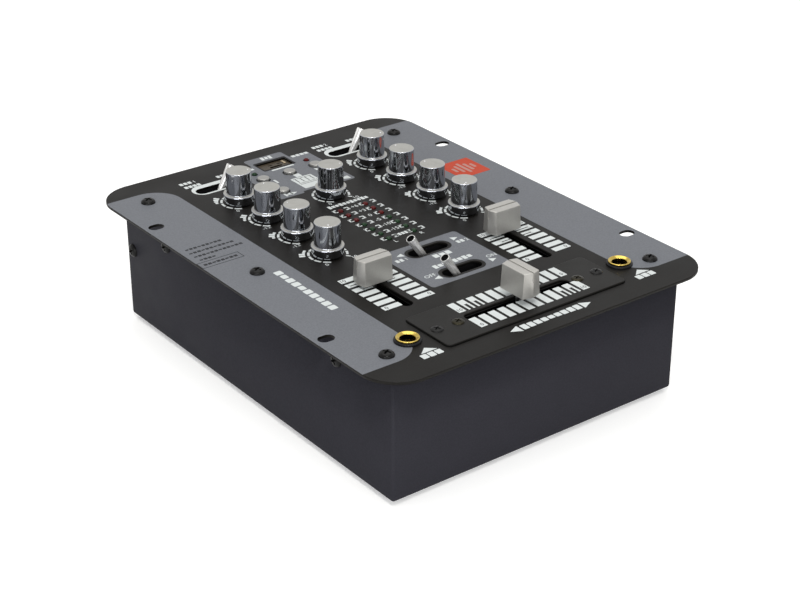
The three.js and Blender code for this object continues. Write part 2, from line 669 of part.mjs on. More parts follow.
// Meter board: the master control and two rows of lamps on spacers
function lampSolid(foot) {
  const [shareR, shareH] = LAMP_SHOULDER_SHARES;
  const dome = [[LAMP_R, 0], [LAMP_R * shareR, LAMP_PROUD * shareH], [0, LAMP_PROUD]];
  return turned([[0, foot], [LAMP_R, foot], ...dome], TINY_SEGMENTS);
}

function meterBoardSolid() {
  const ends = [METER_LAST_Y - METER_BOARD_END, MASTER_Y + METER_BOARD_END];
  const board = block(centred(CONTROL_X, METER_BOARD_W), ends, [POT_BOARD_Z, POT_BOARD_Z + BOARD_T]);
  const lamp = lampSolid(POT_BOARD_Z + BOARD_T / 2);
  const lamps = meterPlaces.map(([x, y]) => moved(lamp, x, y, 0));
  const masterPot = moved(pot, CONTROL_X, MASTER_Y, 0);
  return cut(join(board, masterPot, ...lamps), moved(potBore, CONTROL_X, MASTER_Y, 0));
}
addPiece(deck, 'meter_board', meterBoardSolid(), boardGreen);

// Fader frame along X, open at the top over the travel; its top face is at zero
function faderFrameSolid(slotLength, end, screwReach) {
  const length = slotLength + 2 * end;
  const inner = FADER_BODY_W - 2 * FADER_BODY_WALL;
  const shell = block(centred(0, length), centred(0, FADER_BODY_W), [-FADER_BODY_H, 0]);
  const floor = -FADER_BODY_H + FADER_BODY_WALL;
  const run = slotLength + CARRIAGE_L - LEVER_L;
  const channel = block(centred(0, run), centred(0, inner), [floor, -FADER_BODY_WALL]);
  const gate = block(centred(0, slotLength), centred(0, LEVER_T + 2 * FADER_BODY_WALL), [floor, OVERRUN]);
  const screwHoles = [];
  if (screwReach > 0) {
    for (const sign of SIDE_SIGNS) {
      const hole = rod(PLATE_SHANK_R + RUN_GAP, -FADER_BODY_H - OVERRUN, OVERRUN, SMALL_SEGMENTS);
      screwHoles.push(moved(hole, sign * (slotLength / 2 + screwReach), -PLATE_SCREW_Y, 0));
    }
  }
  return cut(shell, channel, gate, ...screwHoles);
}

// Carriage with its flat lever, which ends inside the cap; the frame's top face is at zero
function faderSliderSolid(gripTop) {
  const inner = FADER_BODY_W - 2 * FADER_BODY_WALL - 2 * RUN_GAP;
  const floor = -FADER_BODY_H + FADER_BODY_WALL + RUN_GAP;
  const carriage = block(centred(0, CARRIAGE_L), centred(0, inner), [floor, floor + CARRIAGE_H]);
  const lever = block(centred(0, LEVER_L), centred(0, LEVER_T), [floor + OVERRUN, gripTop]);
  return join(carriage, lever);
}

// One ring of the cap: two long faces, and at each end two faces that meet in a ridge
function capRing(inset, endInset, z) {
  const [halfW, halfL] = [CAP_W / 2 - inset, CAP_L / 2 - endInset];
  const shoulder = halfL - CAP_PROW;
  const right = [[0, -halfL, z], [halfW, -shoulder, z], [halfW, shoulder, z]];
  return [...right, ...right.map(([x, y]) => [-x, -y, z])];
}

// Cap, long across the travel, with a pointer groove; its underside is at zero
function faderCapSolid() {
  const shoulderRing = capRing(CAP_TAPER, CAP_END_TAPER, CAP_H - CAP_EDGE);
  const topRing = capRing(CAP_TAPER + CAP_EDGE, CAP_END_TAPER + CAP_EDGE, CAP_H);
  const body = lofted([capRing(0, 0, 0), shoulderRing, topRing]);
  const over = [CAP_H - CAP_GROOVE, CAP_H + OVERRUN];
  const groove = block(centred(0, CAP_GROOVE_W), centred(0, CAP_L), over);
  const notchEnd = CAP_L / 2 + OVERRUN;
  const notchStart = CAP_L / 2 - CAP_END_TAPER - CAP_GROOVE;
  const down = [CAP_H - CAP_GROOVE_DROP, CAP_H + OVERRUN];
  const notches = SIDE_SIGNS.map((sign) => {
    const ends = [sign * notchStart, sign * notchEnd].sort((a, b) => a - b);
    return block(centred(0, CAP_GROOVE_W), ends, down);
  });
  const gap = 2 * RUN_GAP;
  const socket = block(centred(0, LEVER_L + gap), centred(0, LEVER_T + gap), [-OVERRUN, LEVER_GRIP]);
  return cut(body, groove, ...notches, socket);
}

// Each fader: frame, slider and cap along its own X, turned to the travel
function addFader(name, x, y, turn, topZ, capLift, slotLength, end, screwReach, travelX) {
  const fader = new THREE.Group();
  fader.position.set(x, y, topZ);
  fader.rotation.z = turn;
  deck.add(fader);
  const capZ = capLift - topZ;
  const gripTop = capZ + LEVER_GRIP - RUN_GAP;
  addPiece(fader, `${name}_body`, faderFrameSolid(slotLength, end, screwReach), zincPlate);
  addPiece(fader, `${name}_slider`, faderSliderSolid(gripTop), blackPlastic, travelX);
  addPiece(fader, `${name}_cap`, faderCapSolid(), satinCap, travelX, 0, capZ);
}
const quarter = Math.PI / 2;
const faderUps = [LEFT_FADER_UP, RIGHT_FADER_UP];
SIDES.forEach((side, i) => {
  const start = faderUps[i] - FADER_TRAVEL / 2;
  const x = FADER_XS[i];
  addFader(`${side}_fader`, x, FADER_Y, quarter, -PANEL_T, FADER_CAP_LIFT, SLOT_L, FADER_BODY_END, 0, start);
});
const crossEnds = [CROSS_SLOT_L, CROSS_BODY_END, FADER_SCREW_END];
addFader('crossfader', 0, CROSS_Y, 0, 0, CROSS_CAP_LIFT, ...crossEnds, CROSSFADER_RIGHT);

// Toggle lever about its pivot: cross pin, hub and a bat that widens above the panel to a dished tip
function toggleSolid(depth, reach) {
  const bat = [[0, 0], [TOGGLE_NECK_R, 0], [TOGGLE_NECK_R, depth], [TOGGLE_TIP_R, reach]];
  const foot = reach - TOGGLE_DIMPLE;
  const dish = [[TOGGLE_DIMPLE_R, reach], [TOGGLE_DIMPLE_FOOT_R, foot], [0, foot]];
  const hub = rodAlongY(TOGGLE_HUB_R, -TOGGLE_HUB_L / 2, TOGGLE_HUB_L / 2, SMALL_SEGMENTS);
  const pin = rodAlongY(TOGGLE_PIN_R, -TOGGLE_PIN_L / 2, TOGGLE_PIN_L / 2, SMALL_SEGMENTS);
  return join(turned([...bat, ...dish], SMALL_SEGMENTS), hub, pin);
}

// Switch body under the panel, open at the top, with holes for the lever's cross pin
const SWITCH_INNER_W = TOGGLE_HUB_L + 2 * RUN_GAP;
const SWITCH_W = TOGGLE_PIN_L + 2 * RUN_GAP;
const SWITCH_INNER_L = TOGGLE_SLOT_L + SWITCH_WALL;
const SWITCH_L = SWITCH_INNER_L + 2 * SWITCH_WALL;
function switchSolid(depth) {
  const floor = -depth - SWITCH_FLOOR;
  const body = block(centred(0, SWITCH_L), centred(0, SWITCH_W), [floor - SWITCH_BASE, -PANEL_T]);
  const well = block(centred(0, SWITCH_INNER_L), centred(0, SWITCH_INNER_W), [floor, -PANEL_T + OVERRUN]);
  const pinEnd = SWITCH_W / 2 + OVERRUN;
  const pinHole = rodAlongY(TOGGLE_PIN_R + RUN_GAP, -pinEnd, pinEnd, SMALL_SEGMENTS);
  return cut(body, well, moved(pinHole, 0, 0, -depth));
}

function addToggle(name, x, y, depth, reach, tilt) {
  const lever = addPiece(deck, name, toggleSolid(depth, reach), chrome, x, y, -depth);
  lever.rotation.y = THREE.MathUtils.degToRad(tilt);
}
SIDES.forEach((side, i) => {
  addPiece(deck, `${side}_source_switch`, switchSolid(SOURCE_DEPTH), blackPlastic, COLUMN_XS[i], SOURCE_Y);
  addToggle(`${side}_source_lever`, COLUMN_XS[i], SOURCE_Y, SOURCE_DEPTH, SOURCE_REACH, SOURCE_TILT);
});

function cueBlockSolid() {
  const bodies = CUE_YS.map((y) => moved(switchSolid(CUE_DEPTH), 0, y, 0));
  const under = -CUE_DEPTH - SWITCH_FLOOR - SWITCH_BASE;
  const ends = [CUE_YS[1] - SWITCH_W / 2 - CUE_BOARD_EDGE, CUE_YS[0] + SWITCH_W / 2 + CUE_BOARD_EDGE];
  const board = block(centred(0, SWITCH_L + 2 * CUE_BOARD_EDGE), ends, [under - BOARD_T, under]);
  return join(board, ...bodies);
}
addPiece(deck, 'cue_switch_block', cueBlockSolid(), blackPlastic, CONTROL_X);
addToggle('cue_lever', CONTROL_X, CUE_YS[0], CUE_DEPTH, CUE_REACH, -CUE_TILT);
addToggle('takeover_lever', CONTROL_X, CUE_YS[1], CUE_DEPTH, CUE_REACH, -CUE_TILT);

// Player board with push switches, lamps and posts up to the panel
function playerBoardSolid() {
  const half = BUTTON_PITCH_X + PLAYER_BOARD_SIDE;
  const xs = [CONTROL_X - half, CONTROL_X + half];
  const ys = [BUTTON_Y - BUTTON_ROW_PITCH - PLAYER_BOARD_END, WINDOW_Y + PLAYER_BOARD_REAR];
  const board = block(xs, ys, [-PLAYER_DEPTH - BOARD_T, -PLAYER_DEPTH]);
  const middle = -PLAYER_DEPTH - BOARD_T / 2;
  const post = rod(POST_R, middle, -PANEL_T, SMALL_SEGMENTS);
  const tact = block(centred(0, TACT_W), centred(0, TACT_W), [middle, -PLAYER_DEPTH + TACT_H]);
  const posts = [xs[0] + POST_INSET, xs[1] - POST_INSET].flatMap((x) =>
    [ys[0] + POST_INSET, WINDOW_Y].map((y) => moved(post, x, y, 0)));
  const tacts = buttonPlaces.map(([x, y]) => moved(tact, x, y, 0));
  const lamps = playerLamps.map(([x, y]) => moved(lampSolid(middle), x, y, 0));
  return join(board, ...posts, ...tacts, ...lamps);
}
addPiece(deck, 'player_board', playerBoardSolid(), boardGreen);

// Upright media socket: open metal shell with a contact tongue
function mediaSocketSolid() {
  const mouth = -SOCKET_DROP;
  const shell = block(centred(0, SOCKET_L), centred(0, SOCKET_W), [-PLAYER_DEPTH, mouth]);
  const innerL = SOCKET_L - 2 * SOCKET_WALL;
  const innerW = SOCKET_W - 2 * SOCKET_WALL;
  const hollowZ = [-PLAYER_DEPTH + SOCKET_WALL, mouth + OVERRUN];
  const hollow = block(centred(0, innerL), centred(0, innerW), hollowZ);
  const tongueY = [innerW / 2 - 2 * TONGUE_T, innerW / 2 - TONGUE_T];
  const tongue = block(centred(0, innerL - 2 * SOCKET_WALL), tongueY, [-PLAYER_DEPTH, mouth - TONGUE_DROP]);
  return join(cut(shell, hollow), tongue);
}
addPiece(deck, 'media_socket', mediaSocketSolid(), zincPlate, CONTROL_X, WINDOW_Y);

// Push button: crowned cap, flange under the panel, stem down to its push switch
function buttonSolid() {
  const flangeTop = -PANEL_T - RUN_GAP;
  const stemEnd = -PLAYER_DEPTH + TACT_H + BUTTON_TRAVEL + RUN_GAP / 2;
  return turned([
    [0, stemEnd],
    [BUTTON_STEM_R, stemEnd],
    [BUTTON_STEM_R, flangeTop - BUTTON_FLANGE_T],
    [BUTTON_FLANGE_R, flangeTop - BUTTON_FLANGE_T],
    [BUTTON_FLANGE_R, flangeTop],
    [BUTTON_R, flangeTop],
    [BUTTON_R, BUTTON_PROUD - RUN_GAP],
    [BUTTON_R - RUN_GAP, BUTTON_PROUD],
    [0, BUTTON_PROUD],
  ], SMALL_SEGMENTS);
}
const button = buttonSolid();
const buttonNames = ['previous_button', 'play_button', 'next_button', 'repeat_button', 'stop_button'];
buttonPlaces.forEach(([x, y], i) => addPiece(deck, buttonNames[i], button, satinCap, x, y));

// Jack socket: flared bush through the panel, body under it, one blind bore
function jackSolid() {
  const flareFoot = JACK_TOP - JACK_FLARE_T;
  const bush = turned([
    [0, -PANEL_T - OVERRUN],
    [JACK_BUSH_R, -PANEL_T - OVERRUN],
    [JACK_BUSH_R, flareFoot],
    [JACK_FLARE_R, flareFoot],
    [JACK_FLARE_R, JACK_TOP - JACK_FLARE_T / 2],
    [JACK_MOUTH_R, JACK_TOP],
    [0, JACK_TOP],
  ], ROUND_SEGMENTS);
  const body = block(centred(0, JACK_BODY_W), centred(0, JACK_BODY_W), [-PANEL_T - JACK_BODY_H, -PANEL_T]);
  const cone = turned([
    [0, JACK_TOP - JACK_CONE],
    [JACK_BORE_R, JACK_TOP - JACK_CONE],
    [JACK_MOUTH_R, JACK_TOP],
    [JACK_MOUTH_R, JACK_TOP + OVERRUN],
    [0, JACK_TOP + OVERRUN],
  ], ROUND_SEGMENTS);
  const bore = rod(JACK_BORE_R, JACK_TOP - JACK_BORE_L, JACK_TOP, ROUND_SEGMENTS);
  return cut(join(bush, body), cone, bore);
}

// Black ring that the flare clamps on the panel
function jackRingSolid() {
  const outside = [
    [0, 0],
    [JACK_RING_R, 0],
    [JACK_RING_R, JACK_RING_H - JACK_RING_EDGE],
    [JACK_RING_R - JACK_RING_EDGE, JACK_RING_H],
    [0, JACK_RING_H],
  ];
  const hole = rod(JACK_BUSH_R + RUN_GAP, -OVERRUN, JACK_RING_H + OVERRUN, ROUND_SEGMENTS);
  return cut(turned(outside, ROUND_SEGMENTS), hole);
}
['mic', 'phones'].forEach((name, i) => {
  const x = SIDE_SIGNS[i] * JACK_X;
  addPiece(deck, `${name}_jack`, jackSolid(), gold, x, CROSS_Y);
  addPiece(deck, `${name}_jack_ring`, jackRingSolid(), blackPlastic, x, CROSS_Y);
});

// Push-in rubber foot: pad, stem through the floor and a clip above it
function footSolid() {
  const floorTop = FOOT_H + PAN_WALL;
  return turned([
    [0, 0],
    [FOOT_R - FOOT_EDGE, 0],
    [FOOT_R, FOOT_EDGE],
    [FOOT_R, FOOT_H],
    [FOOT_STEM_R, FOOT_H],
    [FOOT_STEM_R, floorTop],
    [FOOT_CLIP_R, floorTop],
    [FOOT_STEM_R, floorTop + FOOT_CLIP_H],
    [0, floorTop + FOOT_CLIP_H],
  ], SMALL_SEGMENTS);
}
const foot = footSolid();
const footNames = SIDES.flatMap((side) => [`${side}_front_foot`, `${side}_rear_foot`]);
footPlaces.forEach(([x, y], i) => addPiece(mixer, footNames[i], foot, rubber, x, y));

// Main board on four posts, with its larger components
function mainBoardSolid() {
  const half = PAN_W / 2 - MAIN_SIDE;
  const ys = [-PAN_L / 2 + MAIN_FRONT, PAN_L / 2 - MAIN_REAR];
  const board = block([-half, half], ys, [MAIN_BOARD_Z, MAIN_TOP_Z]);
  const middle = MAIN_BOARD_Z + BOARD_T / 2;
  const post = rod(POST_R, FOOT_H + PAN_WALL, middle, SMALL_SEGMENTS);
  const can = rod(CAN_R, middle, MAIN_TOP_Z + CAN_H, SMALL_SEGMENTS);
  const chip = block(centred(0, CHIP_W), centred(0, CHIP_L), [middle, MAIN_TOP_Z + CHIP_H]);
  const parts = [];
  for (const x of [-half + MAIN_POST_INSET, half - MAIN_POST_INSET]) {
    for (const y of [ys[0] + MAIN_POST_INSET, ys[1] - REAR_TO_SOURCE]) {
      parts.push(moved(post, x, y, 0));
    }
  }
  for (let row = 0; row < CAN_ROWS; row += 1) {
    for (let column = 0; column < CAN_COLUMNS; column += 1) {
      const step = column - (CAN_COLUMNS - 1) / 2;
      const canPitch = 2 * CAN_R + CAN_GAP;
      parts.push(moved(can, step * canPitch, ys[1] - REAR_TO_SOURCE - row * canPitch, 0));
      parts.push(moved(chip, step * (CHIP_W + CHIP_GAP_X), ys[0] + (row + 1) * (CHIP_L + CHIP_GAP_Y), 0));
    }
  }
  return join(board, ...parts);
}
addPiece(mixer, 'main_board', mainBoardSolid(), boardGreen);

// Rear board that stands on the main board and carries the sound sockets
function rearBoardSolid() {
  const bodyRear = INNER_REAR_Y - RUN_GAP;
  const boardRear = bodyRear - RCA_BODY_L;
  const xs = [rcaColumns[0] - RCA_BODY / 2 - REAR_BOARD_EDGE, rcaColumns[RCA_COLUMNS - 1] + RCA_BODY / 2];
  const board = block(xs, [boardRear - BOARD_T, boardRear], [MAIN_TOP_Z, rcaRows[1] + RCA_BODY / 2]);
  const body = block(centred(0, RCA_BODY), [boardRear - BOARD_T / 2, bodyRear], centred(0, RCA_BODY));
  const barrelEnd = REAR_WALL_Y + RCA_BARREL_L;
  const barrel = rodAlongY(RCA_BARREL_R, bodyRear - OVERRUN, barrelEnd, SMALL_SEGMENTS);
  const bore = rodAlongY(RCA_BORE_R, barrelEnd - RCA_BORE_L, barrelEnd + OVERRUN, TINY_SEGMENTS);
  const socket = cut(join(body, barrel), bore);
  return join(board, ...rcaPlaces.map(([x, z]) => moved(socket, x, 0, z)));
}
addPiece(mixer, 'rear_socket_board', rearBoardSolid(), blackPlastic);

// Turned pieces through the rear wall, drawn along Z with the wall's outer face at zero
function alongRearWall(solid) {
  return solid.rotate([-90, 0, 0]);
}

function terminalSolid() {
  return alongRearWall(turned([
    [0, -PAN_WALL - TERMINAL_NUT_L - OVERRUN],
    [TERMINAL_STUD_R, -PAN_WALL - TERMINAL_NUT_L - OVERRUN],
    [TERMINAL_STUD_R, -PAN_WALL - TERMINAL_NUT_L],
    [TERMINAL_NUT_R, -PAN_WALL - TERMINAL_NUT_L],
    [TERMINAL_NUT_R, -PAN_WALL],
    [TERMINAL_STUD_R, -PAN_WALL],
    [TERMINAL_STUD_R, 0],
    [TERMINAL_HEAD_R, 0],
    [TERMINAL_HEAD_R, TERMINAL_HEAD_L],
    [0, TERMINAL_HEAD_L],
  ], SMALL_SEGMENTS));
}
addPiece(mixer, 'ground_terminal', terminalSolid(), zincPlate, TERMINAL_X, REAR_WALL_Y, rcaRows[0]);

function inletSolid() {
  const outside = turned([
    [0, -INLET_L],
    [INLET_R, -INLET_L],
    [INLET_R, 0],
    [INLET_FLANGE_R, 0],
    [INLET_FLANGE_R, INLET_FLANGE_T],
    [0, INLET_FLANGE_T],
  ], SMALL_SEGMENTS);
  const boreFoot = INLET_FLANGE_T - INLET_BORE_L;
  const bore = rod(INLET_BORE_R, boreFoot, INLET_FLANGE_T + OVERRUN, SMALL_SEGMENTS);
  const pin = rod(INLET_PIN_R, boreFoot - OVERRUN, 0, TINY_SEGMENTS);
  return alongRearWall(join(cut(outside, bore), pin));
}
addPiece(mixer, 'power_inlet', inletSolid(), blackPlastic, INLET_X, REAR_WALL_Y, rcaRows[0]);

export default mixer;
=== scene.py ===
"""A compact DJ mixer, dressed for its portrait: lengths are in millimetres until a mesh is laid."""

import json

import bmesh
import bpy
import numpy as np
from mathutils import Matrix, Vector


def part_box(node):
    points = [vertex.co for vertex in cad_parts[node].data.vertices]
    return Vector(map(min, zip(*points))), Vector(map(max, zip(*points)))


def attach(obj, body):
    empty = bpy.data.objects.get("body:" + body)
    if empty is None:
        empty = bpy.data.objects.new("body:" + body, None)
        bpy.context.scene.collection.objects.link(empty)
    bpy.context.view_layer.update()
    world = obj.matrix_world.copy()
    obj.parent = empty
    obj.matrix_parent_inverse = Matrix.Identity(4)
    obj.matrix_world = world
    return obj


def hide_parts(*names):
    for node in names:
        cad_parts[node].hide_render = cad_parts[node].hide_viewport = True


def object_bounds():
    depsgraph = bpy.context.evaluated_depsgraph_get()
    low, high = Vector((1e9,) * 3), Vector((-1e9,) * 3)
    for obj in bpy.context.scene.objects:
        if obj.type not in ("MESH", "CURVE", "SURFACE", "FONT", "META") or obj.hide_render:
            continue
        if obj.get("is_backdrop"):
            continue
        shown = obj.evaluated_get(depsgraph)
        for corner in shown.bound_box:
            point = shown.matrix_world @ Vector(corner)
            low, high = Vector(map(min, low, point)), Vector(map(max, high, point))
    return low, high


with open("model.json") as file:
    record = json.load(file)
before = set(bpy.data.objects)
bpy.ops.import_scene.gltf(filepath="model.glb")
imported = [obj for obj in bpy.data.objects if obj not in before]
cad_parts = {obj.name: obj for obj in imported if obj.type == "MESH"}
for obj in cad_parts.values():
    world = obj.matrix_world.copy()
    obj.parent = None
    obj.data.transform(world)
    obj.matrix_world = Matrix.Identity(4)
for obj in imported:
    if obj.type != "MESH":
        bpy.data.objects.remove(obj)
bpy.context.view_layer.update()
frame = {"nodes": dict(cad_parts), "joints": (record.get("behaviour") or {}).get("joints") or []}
nodes = frame["nodes"]
MM = 0.001


# The camera stands in front and to the left, above the panel, with a long lens.
# Its place and direction come from the photograph's own perspective.
def placed(name, data):
    """A new object in the scene."""
    thing = bpy.data.objects.new(name, data)
    bpy.context.scene.collection.objects.link(thing)
    return thing


def turn_to(thing, way):
    """Turns a camera or lamp so that it looks along a direction."""
    thing.rotation_mode = "QUATERNION"
    thing.rotation_quaternion = Vector(way).to_track_quat("-Z", "Y")


CAMERA_PLACE = (-524.2, -698.3, 479.3)
CAMERA_AIM = (0.53859, 0.70900, -0.45525)
camera = placed("camera", bpy.data.cameras.new("camera"))
camera.data.lens = 80.8
camera.data.sensor_width = 36
camera.data.clip_start = 0.01
camera.data.clip_end = 50
camera.location = Vector(CAMERA_PLACE) * MM
turn_to(camera, CAMERA_AIM)
bpy.context.scene.camera = camera
bpy.context.scene.view_settings.view_transform = "Standard"


# A pale table under soft studio light: a wide softbox overhead and smaller ones in front and to the left.
# The backdrop is plain white; polished metal shows it too, and the dimmer room behind the camera.
def feed(tree, socket, value):
    """Links a socket to another one, or gives it a plain number, vector or colour."""
    if isinstance(value, bpy.types.NodeSocket):
        tree.links.new(value, socket)
    else:
        socket.default_value = value


def add_node(tree, kind, inputs=(), **settings):
    """One shader node: its settings made, and its inputs fed by their labels or their places."""
    node = tree.nodes.new(f"ShaderNode{kind}")
    for label, value in settings.items():
        setattr(node, label, value)
    for label, value in dict(inputs).items():
        feed(tree, node.inputs[label], value)
    return node


def bare_material(name):
    """A new node material without its first nodes, with its output ready."""
    material = bpy.data.materials.new(name)
    material.use_nodes = True
    material.node_tree.nodes.clear()
    return material, material.node_tree, add_node(material.node_tree, "OutputMaterial")


def reckon(tree, operation, *values, clamp=False):
    """One Math node: the operation on one, two or three numbers or sockets."""
    return add_node(tree, "Math", enumerate(values), operation=operation, use_clamp=clamp).outputs[0]


def between(tree, value, low, high, to_low=0.0, to_high=1.0):
    """A smooth step: `to_low` where the value is below low, `to_high` above high."""
    inputs = {"Value": value, "From Min": low, "From Max": high, "To Min": to_low, "To Max": to_high}
    return add_node(tree, "MapRange", inputs, interpolation_type="SMOOTHSTEP").outputs["Result"]


def vectors(tree, operation, *values):
    """One Vector Math node on vectors or sockets: the vector that it makes, or the length or dot product."""
    outputs = add_node(tree, "VectorMath", enumerate(values), operation=operation).outputs
    return outputs["Value" if operation in ("LENGTH", "DOT_PRODUCT") else "Vector"]


def seen_and_mirrored(tree):
    """Two masks: 1 where the camera looks, and 1 where polished metal or clear plastic looks."""
    path = add_node(tree, "LightPath").outputs
    return path["Is Camera Ray"], reckon(tree, "MAXIMUM", path["Is Glossy Ray"], path["Is Transmission Ray"])


ROOM_FILL = 0.50
ROOM_SEEN = 0.98
ROOM_BEHIND_CAMERA = 0.38
world = bpy.data.worlds.new("studio")
bpy.context.scene.world = world
world.use_nodes = True
tree = world.node_tree
seen, mirrored = seen_and_mirrored(tree)
way = add_node(tree, "TexCoord").outputs["Generated"]
to_camera_side = vectors(tree, "DOT_PRODUCT", way, (-0.6, -0.8, 0.0))
wall = between(tree, to_camera_side, 0.0, 0.8, ROOM_SEEN, ROOM_BEHIND_CAMERA)
mirrored_light = reckon(tree, "MULTIPLY", mirrored, reckon(tree, "SUBTRACT", wall, ROOM_FILL))
seen_light = reckon(tree, "MULTIPLY_ADD", seen, ROOM_SEEN - ROOM_FILL, ROOM_FILL)
room = tree.nodes["Background"]
room.inputs["Color"].default_value = (1.0, 1.0, 1.0, 1)
feed(tree, room.inputs["Strength"], reckon(tree, "ADD", mirrored_light, seen_light))

# Each softbox: its place and the height that it looks at over zero, in metres, its side, watts and tint
SOFTBOXES = {"overhead": ((0.1, 0.25, 1.7), 0.05, 1.6, 14, (1.0, 0.99, 0.97)),
             "front": ((-0.62, -0.95, 1.75), 0.07, 0.28, 10, (1.0, 0.98, 0.95)),
             "left": ((-1.4, -0.95, 0.42), 0.05, 1.1, 16, (0.95, 0.97, 1.0)),
             "low_front": ((-0.35, -1.7, 0.6), 0.05, 1.0, 10, (0.97, 0.98, 1.0))}
for name, (place, aim, side, watts, tint) in SOFTBOXES.items():
    lamp = placed(f"{name}_softbox", bpy.data.lights.new(f"{name}_softbox", "AREA"))
    lamp.data.size = side
    lamp.data.energy = watts
    lamp.data.color = tint
    lamp.location = place
    turn_to(lamp, Vector((0, 0, aim)) - Vector(place))

TABLE_HALF = 6
TABLE_GLOW = 0.32
MIRRORED_SHARE = 0.35
table_mesh = bpy.data.meshes.new("table")
table_corners = np.array([(-1, -1, 0), (1, -1, 0), (1, 1, 0), (-1, 1, 0)]) * TABLE_HALF
table_mesh.from_pydata(table_corners.tolist(), [], [(0, 1, 2, 3)])
table = placed("table", table_mesh)
table_paint, tree, output = bare_material("table_paint")
matt = add_node(tree, "BsdfDiffuse", {"Color": (0.86, 0.86, 0.85, 1)})
seen, mirrored = seen_and_mirrored(tree)
looked_at = reckon(tree, "MAXIMUM", seen, reckon(tree, "MULTIPLY", mirrored, MIRRORED_SHARE))
strength = reckon(tree, "MULTIPLY", looked_at, TABLE_GLOW)
glow = add_node(tree, "Emission", {"Color": (1, 1, 1, 1), "Strength": strength})
both = add_node(tree, "AddShader", {0: matt.outputs[0], 1: glow.outputs[0]})
feed(tree, output.inputs["Surface"], both.outputs[0])
table_mesh.materials.append(table_paint)
table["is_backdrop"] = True


# Folded steel box under the panel, bent from sheet and powder painted near-black.
# The paint is a satin skin with a fine orange peel and a little unevenness in its gloss.
def effect(name, inputs, *outputs):
    """A shader node group with its inputs' outlets and outputs' inlets; an input is a number or vector."""
    group = bpy.data.node_groups.new(name, "ShaderNodeTree")
    for label, value in inputs.items():
        kind = "NodeSocketVector" if isinstance(value, tuple) else "NodeSocketFloat"
        socket = group.interface.new_socket(label, in_out="INPUT", socket_type=kind)
        socket.default_value = value
    for label in outputs:
        group.interface.new_socket(label, in_out="OUTPUT", socket_type="NodeSocketFloat")
    return group, group.nodes.new("NodeGroupInput").outputs, group.nodes.new("NodeGroupOutput").inputs


def noise(tree, point, scale, detail=3.0, roughness=0.5):
    """Noise from 0 to 1 over a point in millimetres, with `scale` features to the millimetre."""
    inputs = {"Vector": point, "Scale": scale, "Detail": detail, "Roughness": roughness}
    return add_node(tree, "TexNoise", inputs).outputs["Fac"]


# Grain is the small relief of a coated or moulded skin; Cloud is its slow unevenness, Mottle its fine one;
# Speck is dust.
ZERO = (0.0, 0.0, 0.0)
skin, given, made = effect("coated skin", {"Point": ZERO, "Grain Scale": 3.0, "Cloud Scale": 0.05},
                           "Grain", "Cloud", "Mottle", "Speck")
feed(skin, made["Grain"], noise(skin, given["Point"], given["Grain Scale"]))
feed(skin, made["Cloud"], noise(skin, given["Point"], given["Cloud Scale"], 4.0))
feed(skin, made["Mottle"], between(skin, noise(skin, given["Point"], 1.15, 2.0), 0.3, 0.7))
feed(skin, made["Speck"], between(skin, noise(skin, given["Point"], 1.9, 1.0), 0.76, 0.8))

# Lines is the drawn or turned grain of metal, and Rub is where fingers have left it duller.
handled, given, made = effect("handled metal", {"Point": ZERO, "Stretch": (1.0, 1.0, 1.0), "Line Scale": 6.0},
                              "Lines", "Rub")
stretched = vectors(handled, "MULTIPLY", given["Point"], given["Stretch"])
feed(handled, made["Lines"], noise(handled, stretched, given["Line Scale"], 2.0))
feed(handled, made["Rub"], between(handled, noise(handled, given["Point"], 0.16, 5.0, 0.6), 0.42, 0.66))


def object_millimetres(tree):
    """The Object coordinate, counted in millimetres."""
    place = add_node(tree, "TexCoord").outputs["Object"]
    return add_node(tree, "VectorMath", {0: place, "Scale": 1 / MM}, operation="SCALE").outputs[0]


def spaced(values):
    """The same values under their sockets' labels, where an underscore stands for a space."""
    return {label.replace("_", " "): value for label, value in values.items()}


def use_effect(tree, group, point, **values):
    """One copy of an effect's node, fed the point and its own values."""
    return add_node(tree, "Group", {"Point": point, **spaced(values)}, node_tree=group).outputs


def blend_colours(tree, mask, under, over):
    """The colour `under`, covered by `over` where the mask is 1."""
    under, over = [(*colour, 1) if isinstance(colour, tuple) else colour for colour in (under, over)]
    return add_node(tree, "Mix", {"Factor": mask, 6: under, 7: over}, data_type="RGBA").outputs[2]


def principled(name, **values):
    """A material with one Principled BSDF and its plain values."""
    material, tree, output = bare_material(name)
    shader = add_node(tree, "BsdfPrincipled", spaced(values))
    feed(tree, output.inputs["Surface"], shader.outputs[0])
    return material, tree, shader


def surfaced(tree, shader, colour, roughness, height, depth_mm):
    """Feeds a shader its colour and roughness, and bumps it by a height from 0 to 1, `depth_mm` deep."""
    feed(tree, shader.inputs["Base Color"], colour)
    feed(tree, shader.inputs["Roughness"], roughness)
    bump = add_node(tree, "Bump", {"Distance": depth_mm * MM, "Height": height})
    feed(tree, shader.inputs["Normal"], bump.outputs["Normal"])


def shaded(colour, factor):
    """A colour times a factor, with no channel above 1."""
    return tuple(min(channel * factor, 1) for channel in colour)


